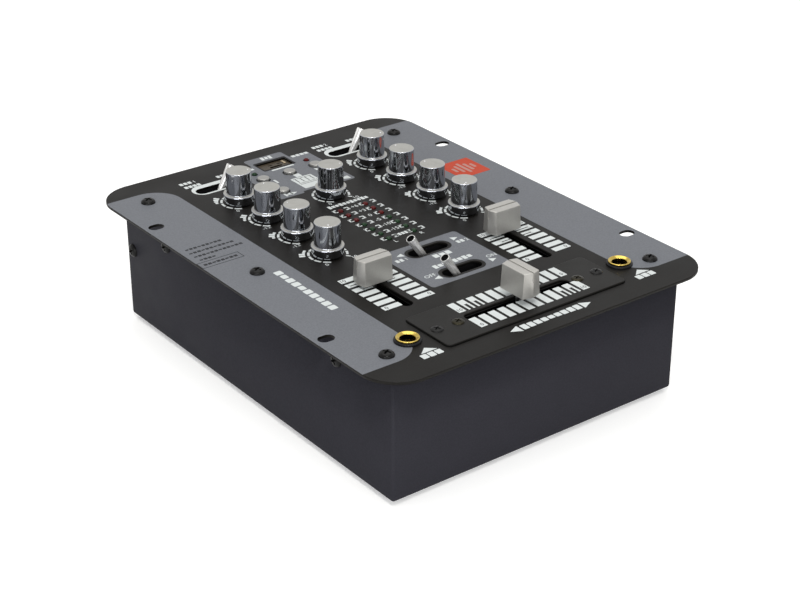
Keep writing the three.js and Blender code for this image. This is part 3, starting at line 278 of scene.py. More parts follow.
def coated(name, colour, gloss, grain_scale=3.0, grain_mm=0.004, drift=0.14, dusty=0.25, shine=0.5, **values):
    """Paint or moulded plastic: colour and roughness drift with Cloud, and Grain gives the relief."""
    material, tree, shader = principled(name, Specular_IOR_Level=shine, **values)
    marks = use_effect(tree, skin, object_millimetres(tree), Grain_Scale=grain_scale)
    uneven = reckon(tree, "MULTIPLY_ADD", marks["Mottle"], 0.5, reckon(tree, "MULTIPLY", marks["Cloud"], 0.5))
    body = blend_colours(tree, uneven, shaded(colour, 1 - drift), shaded(colour, 1 + drift))
    dust = tuple(min(channel * 1.6 + 0.02, 1) for channel in colour)
    body = blend_colours(tree, reckon(tree, "MULTIPLY", marks["Speck"], dusty), body, dust)
    roughness = between(tree, marks["Cloud"], 0.3, 0.7, gloss - 0.05, gloss + 0.05)
    surfaced(tree, shader, body, roughness, marks["Grain"], grain_mm)
    return material


DULLED = 0.93


def metal(name, colour, gloss, line_scale, line_mm, rub=0.06, stretch=(1.0, 1.0, 1.0)):
    """Bare or plated metal: Lines give the drawn grain, and Rub raises the roughness."""
    material, tree, shader = principled(name, Metallic=1.0)
    marks = use_effect(tree, handled, object_millimetres(tree), Stretch=stretch, Line_Scale=line_scale)
    body = blend_colours(tree, marks["Rub"], colour, shaded(colour, DULLED))
    roughness = between(tree, marks["Rub"], 0.0, 1.0, gloss, gloss + rub)
    surfaced(tree, shader, body, roughness, marks["Lines"], line_mm)
    return material


def smooth_below(mesh, degrees):
    """Shades a mesh smooth, with a crease wherever two faces meet at more than the angle."""
    mesh.polygons.foreach_set("use_smooth", np.ones(len(mesh.polygons), bool))
    mesh.set_sharp_from_angle(angle=np.radians(degrees))


def dress(piece, slot, *replaced, body="housing"):
    """Hangs a finished piece under its body's empty and hides the nodes that it stands for; the slot is not
    used.
    """
    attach(piece, body)
    if replaced:
        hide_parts(*replaced)


def softened(node, name, material, degrees):
    """A copy of a CAD node with its corners joined, so that its round bends shade as round."""
    mesh = nodes[node].data.copy()
    mesh.name = name
    work = bmesh.new()
    work.from_mesh(mesh)
    bmesh.ops.remove_doubles(work, verts=work.verts, dist=0.01 * MM)
    work.to_mesh(mesh)
    work.free()
    smooth_below(mesh, degrees)
    mesh.materials.clear()
    mesh.materials.append(material)
    return placed(name, mesh)


def clad(node, name, material, slot, degrees=20, body="housing"):
    """A softened copy of a CAD node, dressed in the node's own place."""
    dress(softened(node, name, material, degrees), slot, node, body=body)


box_paint = coated("box_powder_paint", (0.0265, 0.0260, 0.0315), 0.42, 2.6, 0.012, shine=0.015)
clad("chassis_pan", "steel_box", box_paint, "painted_steel", 35)


# Top panel: one flat steel sheet, punched for every control and painted black.
# Grey side fields, a grey player field and a grey cue field are screen printed over the black.
def corners_of(node):
    """A node's lowest and highest corner in millimetres."""
    low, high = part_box(node)
    return np.array(low) / MM, np.array(high) / MM


def middle_of(node):
    """The middle of a node's box in millimetres."""
    low, high = corners_of(node)
    return (low + high) / 2


def rounded_ring(middle, width, length, radius, steps, grown=0.0):
    """Rounded rectangle, counter-clockwise: quarter circles of the radius about the four corners' middles,
    and the whole outline stands off by `grown`."""
    angle = np.linspace(0, np.pi / 2, steps + 1)
    turn = np.repeat(np.arange(4) * np.pi / 2, steps + 1) + np.tile(angle, 4)
    side = np.repeat(np.array([(1, 1), (-1, 1), (-1, -1), (1, -1)]), steps + 1, axis=0)
    reach = np.array([width / 2 - radius, length / 2 - radius])
    ring = np.array(middle[:2]) + side * reach
    ring = ring + (radius + grown) * np.column_stack([np.cos(turn), np.sin(turn)])
    flat = np.linalg.norm(side * reach - np.roll(side * reach, 1, axis=0), axis=1) < 1e-9
    doubled = flat & (np.arange(len(ring)) % (steps + 1) == 0)
    return ring[~doubled]


def woven(rows, columns):
    """Quads between neighbouring rows of a grid whose points run row by row, each row's ends joined."""
    row, column = np.meshgrid(np.arange(rows - 1), np.arange(columns), indexing="ij")
    ahead = (column + 1) % columns
    corners = [row * columns + column, row * columns + ahead]
    corners += [(row + 1) * columns + ahead, (row + 1) * columns + column]
    return np.stack(corners, axis=-1).reshape(-1, 4)


def lay(name, points, faces, material, degrees=35, turn_out=True):
    """Makes a mesh object from points in millimetres: doubles merged, faces outwards, creases by angle."""
    mesh = bpy.data.meshes.new(name)
    mesh.from_pydata((np.asarray(points, float) * MM).tolist(), [], [list(map(int, face)) for face in faces])
    work = bmesh.new()
    work.from_mesh(mesh)
    bmesh.ops.remove_doubles(work, verts=work.verts, dist=0.0005 * MM)
    if turn_out:
        bmesh.ops.recalc_face_normals(work, faces=work.faces)
    work.to_mesh(mesh)
    work.free()
    smooth_below(mesh, degrees)
    mesh.materials.append(material)
    return placed(name, mesh)


def rows_of(items, what):
    """A vector property of all of a mesh's faces or points, one row for each."""
    values = np.zeros(len(items) * 3)
    items.foreach_get(what, values)
    return values.reshape(-1, 3)


def punched_sheet(name, outline, holes, bottom, top, edge, material):
    """Sheet with rounded upper edges. Each outline, given as a function of how far it has grown, runs up its
    wall and then over a quarter circle of radius `edge`; the flats between the outlines are filled."""
    bend = np.linspace(0, np.pi / 2, 5)
    growths = np.concatenate([[0.0], -edge * (1 - np.cos(bend))])
    heights = np.concatenate([[bottom], top - edge + edge * np.sin(bend)])
    work = bmesh.new()
    for ring_of, sign in [(outline, 1)] + [(hole, -1) for hole in holes]:
        rings = [ring_of(sign * growth) for growth in growths]
        count = len(rings[0])
        points = np.concatenate([np.column_stack([r, np.full(count, z)]) for r, z in zip(rings, heights)])
        corners = [work.verts.new(point) for point in points * MM]
        for quad in woven(len(rings), count):
            work.faces.new([corners[i] for i in quad])
    work.edges.ensure_lookup_table()
    for level in (bottom, top):
        rim = [e for e in work.edges if e.is_boundary and abs(e.verts[0].co.z - level * MM) < 0.001 * MM]
        bmesh.ops.triangle_fill(work, use_beauty=True, edges=rim)
    bmesh.ops.recalc_face_normals(work, faces=work.faces)
    mesh = bpy.data.meshes.new(name)
    work.to_mesh(mesh)
    work.free()
    mesh.polygons.foreach_set("use_smooth", np.abs(rows_of(mesh.polygons, "normal")[:, 2]) <= 0.9999)
    mesh.materials.append(material)
    return placed(name, mesh)


def round_hole(middle, radius, steps=10):
    """A round hole as a function of how far it has grown."""
    return lambda grown: rounded_ring(middle, 2 * radius, 2 * radius, radius, steps, grown)


def long_hole(middle, width, length, radius=None, steps=10):
    """A slot, or a rectangle with rounded corners, as a function of how far it has grown."""
    corner = min(width, length) / 2 if radius is None else radius
    return lambda grown: rounded_ring(middle, width, length, corner, steps, grown)


# Mask is 1 inside a rounded rectangle and 0 outside, from the distance to its edge.
field, given, made = effect(
    "rounded field", {"Point": ZERO, "Middle": ZERO, "Reach": (1.0, 1.0, 0.0), "Corner": 1.0}, "Mask")
folded = vectors(field, "ABSOLUTE", vectors(field, "SUBTRACT", given["Point"], given["Middle"]))
raised = vectors(field, "ADD", vectors(field, "SUBTRACT", folded, given["Reach"]), given["Corner"])
level = vectors(field, "MULTIPLY", raised, (1.0, 1.0, 0.0))
outside = vectors(field, "LENGTH", vectors(field, "MAXIMUM", level, ZERO))
axes = add_node(field, "SeparateXYZ", {0: level}).outputs
inside = reckon(field, "MINIMUM", reckon(field, "MAXIMUM", axes["X"], axes["Y"]), 0.0)
distance = reckon(field, "SUBTRACT", reckon(field, "ADD", outside, inside), given["Corner"])
feed(field, made["Mask"], between(field, distance, -0.06, 0.06, 1.0, 0.0))

panel_low, panel_high = corners_of("top_panel")
PANEL_TOP = panel_high[2]
PANEL_CORNER = 21
PANEL_BLACK = (0.0075, 0.0068, 0.0060)
FIELD_GREY = (0.140, 0.147, 0.162)
PRINT_WHITE = (0.585, 0.615, 0.61)
STRIPE_CORNER = 17
STRIPE_IN = 67.5
STRIPE_FRONT, STRIPE_REAR = -118.0, 122.0
CUE_FIELD = ((0.9, -44.8), (51.0, 46.8), 2.0)
PLAYER_FIELDS = [((0.9, 118.0), (26.0, 18.2), 2.0), ((1.2, 94.3), (51.2, 46.6), 1.8),
                 ((-16.2, 72.0), (16.4, 6.4), 1.6), ((18.2, 72.0), (17.2, 6.4), 1.6)]


def field_mask(tree, point, fields):
    """1 inside any of the rounded rectangles, each given as middle, size and corner radius."""
    mask = 0.0
    for (x, y), (width, length), corner in fields:
        reach = (width / 2, length / 2, 0.0)
        one = use_effect(tree, field, point, Middle=(x, y, 0.0), Reach=reach, Corner=corner)
        mask = reckon(tree, "MAXIMUM", one["Mask"], mask)
    return mask


stripe_size = (2 * (panel_high[0] - STRIPE_IN), STRIPE_REAR - STRIPE_FRONT)
stripe_y = (STRIPE_FRONT + STRIPE_REAR) / 2
grey_fields = [((sign * panel_high[0], stripe_y), stripe_size, STRIPE_CORNER) for sign in (-1, 1)]
grey_fields += [CUE_FIELD] + PLAYER_FIELDS
source_nodes = ("left_source_switch", "right_source_switch")
source_places = [middle_of(node) for node in source_nodes]
cue_middle_x = middle_of("cue_switch_block")[0]
bare_fields = [((cue_middle_x, y), (28.4, 11.4), 5.7) for y in (-31.1, -59.4)]
white_fields = [((place[0], place[1] + 1.0), (28.0, 13.0), 6.5) for place in source_places]

panel_paint, tree, shader = principled("printed_panel_paint", Specular_IOR_Level=0.10)
point = object_millimetres(tree)
marks = use_effect(tree, skin, point, Grain_Scale=3.4, Cloud_Scale=0.03)
height = add_node(tree, "SeparateXYZ", {0: point}).outputs["Z"]
on_top = between(tree, height, PANEL_TOP - 0.12, PANEL_TOP - 0.04)
printed = field_mask(tree, point, grey_fields)
bare = field_mask(tree, point, bare_fields)
white = field_mask(tree, point, white_fields)
grey = reckon(tree, "MULTIPLY", reckon(tree, "SUBTRACT", printed, bare, clamp=True), on_top)
uneven = reckon(tree, "MULTIPLY_ADD", marks["Mottle"], 0.6, reckon(tree, "MULTIPLY", marks["Cloud"], 0.4))
clouded = [blend_colours(tree, uneven, shaded(colour, 0.87), shaded(colour, 1.13))
           for colour in (PANEL_BLACK, FIELD_GREY)]
tone = blend_colours(tree, grey, *clouded)
tone = blend_colours(tree, reckon(tree, "MULTIPLY", white, on_top), tone, PRINT_WHITE)
tone = blend_colours(tree, reckon(tree, "MULTIPLY", marks["Speck"], 0.12), tone, (0.16, 0.16, 0.155))
surfaced(tree, shader, tone, between(tree, marks["Cloud"], 0.3, 0.7, 0.40, 0.48), marks["Grain"], 0.006)

knob_nodes = [f"{side}_{band}_knob" for side in ("left", "right") for band in ("gain", "high", "mid", "low")]
knob_nodes.append("master_knob")
knob_places = [middle_of(node) for node in knob_nodes]
screw_nodes = [f"panel_screw_{number}" for number in range(1, 7)]
button_bodies = ("previous", "play", "next", "repeat", "stop")
button_places = [middle_of(f"{body}_button") for body in button_bodies]
fader_places = [middle_of("left_fader_body"), middle_of("right_fader_body")]
cross_place = middle_of("crossfader_body")
jack_places = [middle_of("mic_jack"), middle_of("phones_jack")]
socket_place = middle_of("media_socket")
FADER_SLOT = (6.2, 46.1)
CROSS_SLOT = (66.6, 6.5)
TOGGLE_SLOT = (24.5, 7.5)
MOUNT_SLOT = (8.7, 6.5)
MOUNT_PLACES = [(x, y) for x in (-98.0, 98.0) for y in (-79.3, 79.3)]
CUE_SLOT_YS = (-31.0, -59.4)
CROSS_OPENING = (95.6, 20.0)
WINDOW = (21.7, 12.9)
WINDOW_Y = 113.9
KNOB_HOLE_R, BUTTON_HOLE_R, JACK_HOLE_R = 3.9, 4.0, 5.0
LAMP_HOLE_R, SCREW_HOLE_R, SMALL_SCREW_HOLE_R = 1.85, 2.2, 1.55
PLATE_SCREW_X, PLATE_SCREW_Y = 51.6, -105.5
PLAYER_LAMP_Y = 107.3
METER_REAR, METER_FRONT, METER_ROWS = 36.0, -8.0, 7
METER_HALF = 8.4
meter_ys = np.linspace(METER_REAR, METER_FRONT, METER_ROWS)
meter_places = [(cue_middle_x + side * METER_HALF, y) for y in meter_ys for side in (-1, 1)]
player_lamp_places = [(button_places[index][0], PLAYER_LAMP_Y) for index in (0, 2)]

panel_holes = [round_hole(place, KNOB_HOLE_R) for place in knob_places]
panel_holes += [round_hole(middle_of(node), SCREW_HOLE_R, 6) for node in screw_nodes]
panel_holes += [long_hole(place, *MOUNT_SLOT) for place in MOUNT_PLACES]
panel_holes += [round_hole(place, LAMP_HOLE_R, 6) for place in meter_places + player_lamp_places]
panel_holes += [round_hole(place, BUTTON_HOLE_R) for place in button_places]
panel_holes += [long_hole(place, *TOGGLE_SLOT) for place in source_places]
panel_holes += [long_hole((cue_middle_x, y), *TOGGLE_SLOT) for y in CUE_SLOT_YS]
panel_holes += [long_hole(place, *FADER_SLOT) for place in fader_places]
panel_holes += [round_hole(place, JACK_HOLE_R) for place in jack_places]
panel_holes += [round_hole((sign * PLATE_SCREW_X, PLATE_SCREW_Y), SMALL_SCREW_HOLE_R, 5) for sign in (-1, 1)]
panel_holes.append(long_hole((socket_place[0], WINDOW_Y), *WINDOW, radius=0.9, steps=4))
panel_holes.append(long_hole(cross_place, *CROSS_OPENING, radius=1.5, steps=4))
panel_size = panel_high - panel_low
panel_middle = (panel_low + panel_high) / 2
panel_ring = long_hole(panel_middle, *panel_size[:2], radius=PANEL_CORNER, steps=24)
panel = punched_sheet("printed_panel", panel_ring, panel_holes, panel_low[2], PANEL_TOP, 0.28, panel_paint)
dress(panel, "panel_paint", "top_panel")


# Crossfader plate: a thin painted sheet laid on the panel, with a rounded edge that catches the light.
# It hides the fader's frame and carries its two screws and the panel's two; a thin black band round it on the
# panel is painted shade, the dark gap line along the plate's edge.
plate_low, plate_high = corners_of("crossfader_plate")
plate_middle = (plate_low + plate_high) / 2
plate_size = plate_high - plate_low
plate_paint = coated("plate_paint", (0.0105, 0.0100, 0.0090), 0.40, 3.4, 0.006, shine=0.10)
plate_screws = ["left_plate_screw", "left_fader_screw", "right_plate_screw", "right_fader_screw"]
plate_holes = [round_hole(middle_of(node), SMALL_SCREW_HOLE_R, 5) for node in plate_screws]
plate_holes.append(long_hole(plate_middle, *CROSS_SLOT))
cross_plate = punched_sheet("cross_plate", long_hole(plate_middle, *plate_size[:2], radius=3.0, steps=12),
                            plate_holes, plate_low[2], plate_high[2], 0.42, plate_paint)
dress(cross_plate, "panel_paint", "crossfader_plate")
# Painted shade: a thin black band a little wider than the plate, standing for the dark gap under its edge.
SHADOW_BAND_SHOWS = 0.9
SHADOW_BAND_THICK = 0.08
shadow_band_black = coated("shadow_band_black", (0.0012, 0.0012, 0.0011), 0.6, dusty=0.0, shine=0.04)
shadow_band_ring = long_hole(plate_middle, *(plate_size[:2] + SHADOW_BAND_SHOWS), radius=3.4, steps=12)
shadow_band_hole = long_hole(plate_middle, 90.0, 16.0, radius=3.0, steps=6)
shadow_band = punched_sheet("plate_shadow_band", shadow_band_ring, [shadow_band_hole], PANEL_TOP, PANEL_TOP + SHADOW_BAND_THICK,
                       SHADOW_BAND_THICK / 2, shadow_band_black)
dress(shadow_band, "rubber")


# Screen printing: white ink lies as a thin film on the paint, with dark and red ink beside it.
# Every mark is plain: numbers, arrows, level bars and brackets beside the controls.
INK = 0.035


def turned_about(points, degrees):
    """Flat points turned about zero."""
    angle = np.radians(degrees)
    turn = np.array([(np.cos(angle), np.sin(angle)), (-np.sin(angle), np.cos(angle))])
    return points @ turn


class Ink:
    """Collects flat shapes as closed films of ink, with their points and faces in two lists."""

    def __init__(self, level):
        self.level = level
        self.points = []
        self.faces = []

    def shape(self, outline):
        """Adds one outline, counter-clockwise: an upper face, a lower face and the wall between."""
        start = sum(len(block) for block in self.points)
        count = len(outline)
        low = np.column_stack([outline, np.full(count, self.level)])
        high = np.column_stack([outline, np.full(count, self.level + INK)])
        self.points.append(np.concatenate([low, high]))
        self.faces += (woven(2, count) + start).tolist()
        self.faces.append((np.arange(count) + count + start).tolist())
        self.faces.append((np.arange(count)[::-1] + start).tolist())

    def bar(self, middle, width, length, corner=0.25, turn=0.0):
        """A rounded bar, turned about its own middle by an angle in degrees."""
        ring = rounded_ring((0, 0), width, length, corner, 3)
        self.shape(turned_about(ring, turn) + np.array(middle[:2]))

    def arc(self, middle, inner, outer, start, end):
        """A band between two radii from one angle to another, in degrees from +X."""
        angle = np.radians(np.linspace(start, end, 14))[:, None]
        way = np.column_stack([np.cos(angle), np.sin(angle)])
        self.shape(np.concatenate([outer * way, inner * way[::-1]]) + np.array(middle[:2]))

    def arrow(self, middle, size, turn):
        """A triangle whose point looks along the angle in degrees."""
        ring = np.array([(size * 0.6, 0), (-size * 0.4, size / 2), (-size * 0.4, -size / 2)])
        self.shape(turned_about(ring, turn) + np.array(middle[:2]))

    def figures(self, words, middle, size):
        """Figures set about a middle: a font outline made a mesh, then placed."""
        curve = bpy.data.curves.new("figures", "FONT")
        curve.body = words
        curve.size = size
        curve.align_x = "CENTER"
        curve.align_y = "CENTER"
        curve.resolution_u = 3
        curve.extrude = INK / 2
        holder = placed("figures", curve)
        mesh = bpy.data.meshes.new_from_object(holder)
        points = rows_of(mesh.vertices, "co")
        flat = points[:, :2] - (points[:, :2].min(0) + points[:, :2].max(0)) / 2 + np.array(middle[:2])
        start = sum(len(block) for block in self.points)
        self.points.append(np.column_stack([flat, points[:, 2] + self.level + INK / 2]))
        self.faces += [[corner + start for corner in face.vertices] for face in mesh.polygons]
        bpy.data.objects.remove(holder)
        bpy.data.curves.remove(curve)

    def blocks(self, start, step, sizes, turn=0.0, corner=0.3):
        """A row of bars in the place of a word: from a start, one step on for each width and length."""
        for index, (width, length) in enumerate(sizes):
            self.bar(np.array(start) + index * np.array(step), width, length, corner, turn)

    def printed(self, name, colour):
        """Lays the film as one piece of the print."""
        dress(lay(name, np.concatenate(self.points), self.faces, colour, turn_out=False), "panel_paint")


def ink(name, colour, gloss=0.5, grain_scale=5.0, drift=0.05, dusty=0.0):
    """A printing ink: a dull coat with hardly any grain."""
    return coated(name, colour, gloss, grain_scale, 0.003, drift, dusty, shine=0.1)


white_ink = ink("white_ink", PRINT_WHITE, drift=0.03, dusty=0.05)
dark_ink = ink("dark_ink", (0.022, 0.022, 0.025))
red_ink = ink("red_ink", (0.44, 0.048, 0.018), 0.45, 4.0, dusty=0.05)
faded_ink = ink("faded_ink", (0.42, 0.21, 0.18))
panel_ink = Ink(PANEL_TOP)
PRINT_SHIFT = np.array([0.6, 0.8])


def outward(degrees):
    """The flat direction at an angle from +X."""
    return np.array([np.cos(np.radians(degrees)), np.sin(np.radians(degrees))])


# Dials: a broken ring round each knob, a tick and a number at each end, and four level bars as a sign
DIAL_INNER, DIAL_OUTER = 9.5, 10.8
DIAL_START, DIAL_STEP, DIAL_DASHES = -40, 29, 10
DASH = 23
LOW_END, HIGH_END = 233, -50
LOW_REACH, HIGH_REACH, TICK_REACH = 12.9, 14.6, 11.0
SIGN_MIDDLE, SIGN_STEP, SIGN_REACH = 143, 9.0, 12.0
BAND_BARS = {"gain": (1.6, 2.2, 2.8, 3.4), "high": (1.5, 1.5, 3.2, 3.2), "mid": (1.6, 3.2, 3.2, 1.6),
             "low": (3.2, 3.2, 1.5, 1.5)}
for place, node in zip(knob_places, knob_nodes):
    dial = place[:2] + PRINT_SHIFT
    for start in DIAL_START + DIAL_STEP * np.arange(DIAL_DASHES):
        panel_ink.arc(dial, DIAL_INNER, DIAL_OUTER, start, start + DASH)
    band = node.split("_")[1]
    ends = ("-12", "12") if band in ("high", "mid") else ("0", "10")
    panel_ink.figures(ends[0], dial + LOW_REACH * outward(LOW_END), 3.6)
    panel_ink.figures(ends[1], dial + HIGH_REACH * outward(HIGH_END), 4.0)
    panel_ink.bar(dial + TICK_REACH * outward(HIGH_END), 2.6, 1.0, 0.3, HIGH_END)
    for index, tall in enumerate(BAND_BARS.get(band, ())):
        angle = SIGN_MIDDLE + (1.5 - index) * SIGN_STEP
        panel_ink.bar(dial + (SIGN_REACH + tall / 2) * outward(angle), tall, 1.7, 0.25, angle)

# Level meter: brackets round each lamp, and the level numbers between them.
# Each bracket is the x of its back and of its two arms, and the arms' length.
LEVELS = ("+6", "+3", "0", "-5", "-10", "-15")
BRACKETS = [(-10.8, -9.95, 2.1), (6.6, 7.45, 2.1), (-1.4, -2.55, 2.2), (16.3, 15.15, 2.2)]
for row, y in enumerate(meter_ys + 1.0):
    for back_x, arm_x, arm in BRACKETS:
        panel_ink.bar((back_x, y), 1.0, 3.6, 0.3)
        for sign in (-1, 1):
            panel_ink.bar((arm_x, y + sign * 1.4), arm, 0.85)
    if row < len(LEVELS):
        panel_ink.figures(LEVELS[row], (2.7, y), 4.4)

# Channel faders: seven white bars each side of the slot, the second and third slit from the slot's side
FADER_BARS = [((-58.6, -48.0), -1), ((-38.3, -27.6), 1), ((32.4, 43.1), -1), ((52.6, 63.3), 1)]
BAR_TALL = 4.05
UPPER = BAR_TALL / 2
SLIT = 0.75
SLIT_REACH = {1: 8.6, 2: 5.4}
bar_ys = -35.0 - 6.09 * np.arange(7)
for (x0, x1), outer in FADER_BARS:
    for row, y in enumerate(bar_ys):
        reach = SLIT_REACH.get(row, 0.0)
        panel_ink.bar(((x0 + x1 + outer * reach) / 2, y), x1 - x0 - reach, BAR_TALL, 0.2)
        if reach:
            inner_x = (x0 if outer > 0 else x1) + outer * (reach / 2 + 0.1)
            panel_ink.bar((inner_x, y + UPPER / 2), reach + 0.5, UPPER, 0.15)
            panel_ink.bar((inner_x, y - (UPPER + SLIT) / 2), reach + 0.5, UPPER - SLIT, 0.15)

# Arrows by x, y, size and turn: in the cue field, at the crossfader's arrow and in the player field
for x, y, size, turn in ((-15.3, -28.6, 4.0, 180), (-15.3, -60.7, 4.0, 180), (20.4, -28.6, 4.0, 0),
                         (20.4, -60.7, 4.0, 0), (-20.6, -127.3, 6.0, 180), (24.1, -127.3, 6.0, 0),
                         (16.8, 92.6, 3.6, 0), (-16.0, 72.4, 4.0, 180), (-13.6, 72.4, 4.0, 0),
                         (21.6, 72.4, 4.0, 180)):
    panel_ink.arrow((x, y), size, turn)

# Figures by x, y and size: L and R, numbers in the cue field and at the source switches, ON and OFF
numbers = [("L", -6.0, -12.5, 3.9), ("R", 11.3, -12.5, 3.9), ("1", -15.0, -33.3, 4.2),
           ("2", 25.2, -33.3, 4.2), ("OFF", -17.4, -56.5, 4.1), ("ON", 22.8, -56.5, 4.1)]
numbers += [(figure, place[0] - 5.2, 119.9, 4.2) for place, figure in zip(source_places, "12")]
for figure, x, y, size in numbers:
    panel_ink.figures(figure, (x, y), size)

# Even rows of blocks in the places of words, by x, y, step, width, length and count
rows = [(-1.4, meter_ys[-1] + 1.0, 2.1, 1.6, 2.8, 5), (-20.6, -33.3, 2.6, 1.9, 3.0, 2),
        (19.6, -33.3, 2.6, 1.9, 3.0, 2), (16.2, 116.6, 3.0, 2.4, 2.6, 4), (-19.6, 114.4, 2.8, 2.2, 2.2, 3)]
for place in source_places:
    for x, y, count in ((-13.6, 119.9, 3), (-13.4, 114.6, 4), (9.2, 117.2, 4)):
        rows.append((place[0] + x, y, 2.7, 2.1, 3.0, count))
for x, y, step, width, length, count in rows:
    panel_ink.blocks((x, y), (step, 0.0), [(width, length)] * count)

# Uneven rows: over the meter, two in the cue field, the crossfader's arrow, at the media socket and on the
# left stripe; then the jack sockets' arrows
panel_ink.blocks((-9.4, 43.2), (2.46, 0.0), [(1.9, 2.6 + 0.9 * (index % 3 == 0)) for index in range(11)])
panel_ink.blocks((-0.6, -40.0), (4.0, 0.0), [(3.2, 3.7), (3.2, 2.8), (3.2, 3.7)])
panel_ink.blocks((-8.8, -50.0), (3.18, 0.0), [(2.5, 3.8 - 0.9 * (index % 2)) for index in range(8)])
panel_ink.blocks((-15.2, -127.3), (4.25, 0.0), [(3.5, 3.0 + 0.42 * abs(index - 4)) for index in range(9)],
                 corner=0.5)
panel_ink.blocks((-0.6, 124.0), (2.6, 0.0), [(1.9, 4.2), (1.9, 3.0), (1.9, 4.2)], turn=-8.0)
panel_ink.blocks((-77.0, -7.3), (0.0, -5.3), [(4.4 - 0.9 * (index % 3 == 1), 4.2) for index in range(10)],
                 corner=0.6)
for x in (-67.5, 70.5):
    panel_ink.shape(np.array([(x - 4.0, -118.9), (x + 5.4, -118.9), (x + 0.7, -114.8)]))
    panel_ink.blocks((x - 4.2, -121.7), (4.2, 0.0), [(3.6, 4.0)] * 3, corner=0.5)

# Player field by x, y, width, length and corner: stop sign, white panel, bar at the window, signs' strokes
for x, y, *size in ((2.3, 91.7, 3.9, 4.2, 0.3), (2.35, 81.2, 13.9, 15.7, 0.6), (1.9, 106.2, 15.2, 1.5, 0.4),
                    (-12.4, 91.6, 1.3, 4.8, 0.3), (-18.7, 72.4, 1.3, 3.9, 0.2), (24.0, 72.4, 1.3, 3.9, 0.2)):
    panel_ink.bar((x, y), *size)
panel_ink.printed("white_print", white_ink)

# Red square on the right stripe with plain level bars in it
red_film = Ink(PANEL_TOP)
red_film.bar((85.0, 42.6), 21.6, 22.6, 0.8)
red_film.printed("red_print", red_ink)
square_film = Ink(PANEL_TOP + INK)
square_film.blocks((78.4, 42.6), (3.3, 0.0), [(1.9, tall) for tall in (5.5, 10.0, 14.5, 10.0, 5.5)],
                   corner=0.6)
square_film.printed("square_print", faded_ink)

# Dark ink: dashed rules and a box on the left stripe, and the figures at the ends of the fader scales
dark_film = Ink(PANEL_TOP)
RULES = [(-101.0, -76.5, 44.3), (-101.5, -72.5, 39.4), (-101.5, -70.0, 34.5), (-101.0, -89.5, 29.7)]
RULE_STEP = 2.5
for x0, x1, y in RULES:
    dashes = [(1.9, 1.9 if index % 3 else 1.2) for index in range(int((x1 - x0) // RULE_STEP))]
    dark_film.blocks((x0 + 0.9, y), (RULE_STEP, 0.0), dashes, corner=0.2)
for x, y, width, length in ((-92.5, 26.8, 25.0, 0.4), (-92.5, 20.3, 25.0, 0.4), (-104.8, 23.55, 0.4, 6.9),
                            (-80.0, 23.55, 0.4, 6.9)):
    dark_film.bar((x, y), width, length, 0.1)
dark_film.blocks((-101.4, 23.5), (2.6, 0.0), [(2.0, 2.0 - 0.7 * (index % 3 == 2)) for index in range(8)],
                 corner=0.2)
dark_film.printed("dark_print", dark_ink)
scale_film = Ink(PANEL_TOP + INK)
for (x0, x1), outer in FADER_BARS:
    end = x1 - 2.2 if outer > 0 else x0 + 2.2
    scale_film.figures("10", (end, bar_ys[0]), 3.7)
    scale_film.figures("0", (end, bar_ys[-1]), 3.7)
scale_film.blocks((-2.6, 84.6), (3.3, 0.0), [(0.5, 5.0)] * 4, corner=0.1)
for y in (87.6, 80.9, 79.3):
    scale_film.bar((2.35, y), 12.2, 0.35, 0.1)
scale_film.printed("scale_print", dark_ink)

# Crossfader scale: twelve bars behind the slot and twelve before it, two of each slit at the quiet end
plate_ink = Ink(plate_high[2])
plate_scale = Ink(plate_high[2] + INK)
BAR_STEP = 6.0
for x0, y, slit, ends in ((-30.3, -93.7, (1, 2), ("10", "0")), (-31.2, -111.6, (9, 10), ("0", "10"))):
    for index in range(12):
        x = x0 + index * BAR_STEP
        if index not in slit:
            plate_ink.bar((x, y), 4.2, 10.3, 0.2)
            continue
        plate_ink.bar((x, y + 2.9), 4.2, 4.5, 0.2)
        for sign in (-1, 1):
            plate_ink.bar((x + sign * 1.5, y - 2.2), 1.2, 5.9, 0.15)
    for figure, index in zip(ends, (0, 11)):
        plate_scale.figures(figure, (x0 + index * BAR_STEP, y - 2.8), 3.5)
plate_ink.printed("plate_print", white_ink)
plate_scale.printed("plate_figures", dark_ink)


# Cross-head screws: formed black heads with a low dome and a tapered cross pressed into them.
# Six hold the panel, two the plate, two dull yellow ones the crossfader, and six more are in the box's sides.
HEAD_SIDES = 96
CROSS_TURN = 0.5
CROSS_HALF, CROSS_REACH = 0.13, 0.56


def domed_screw(name, place, radius, rise, material, axis=(0, 0, 1)):
    """A head over polar r and angle: height = rise times the root of (1 - (r/R) cubed), less a cross that is
    deepest in the middle; the head stands on its place and looks along the axis."""
    share = np.concatenate([np.linspace(0, 0.62, 26), np.linspace(0.64, 1.0, 16)])
    angle = np.linspace(0, 2 * np.pi, HEAD_SIDES, endpoint=False) + 0.26
    around, along = np.meshgrid(angle, share)
    x, y = along * np.cos(around), along * np.sin(around)
    height = rise * np.sqrt(np.clip(1 - along**3, 0, 1))
    cos, sin = np.cos(CROSS_TURN), np.sin(CROSS_TURN)
    spoke = np.minimum(np.abs(x * cos + y * sin), np.abs(-x * sin + y * cos))
    in_cross = np.clip((CROSS_HALF - spoke) / 0.035, 0, 1) * np.clip((CROSS_REACH - along) / 0.05, 0, 1)
    height = height - in_cross * rise * (0.98 - 0.5 * along)
    points = np.stack([x * radius, y * radius, height], axis=-1).reshape(-1, 3)
    points = np.concatenate([points, np.zeros((HEAD_SIDES, 3))])
    turn = np.array(Vector((0, 0, 1)).rotation_difference(Vector(axis)).to_matrix())
    return lay(name, points @ turn.T + np.array(place), woven(len(share) + 1, HEAD_SIDES), material, 38)


def seated_screw(node, name, seat, finish, slot):
    """A head in a screw node's place, as wide as the node and as high over its seat."""
    low, high = corners_of(node)
    place = (*(low + high)[:2] / 2, seat)
    dress(domed_screw(name, place, (high[0] - low[0]) / 2, high[2] - seat, finish), slot, node)


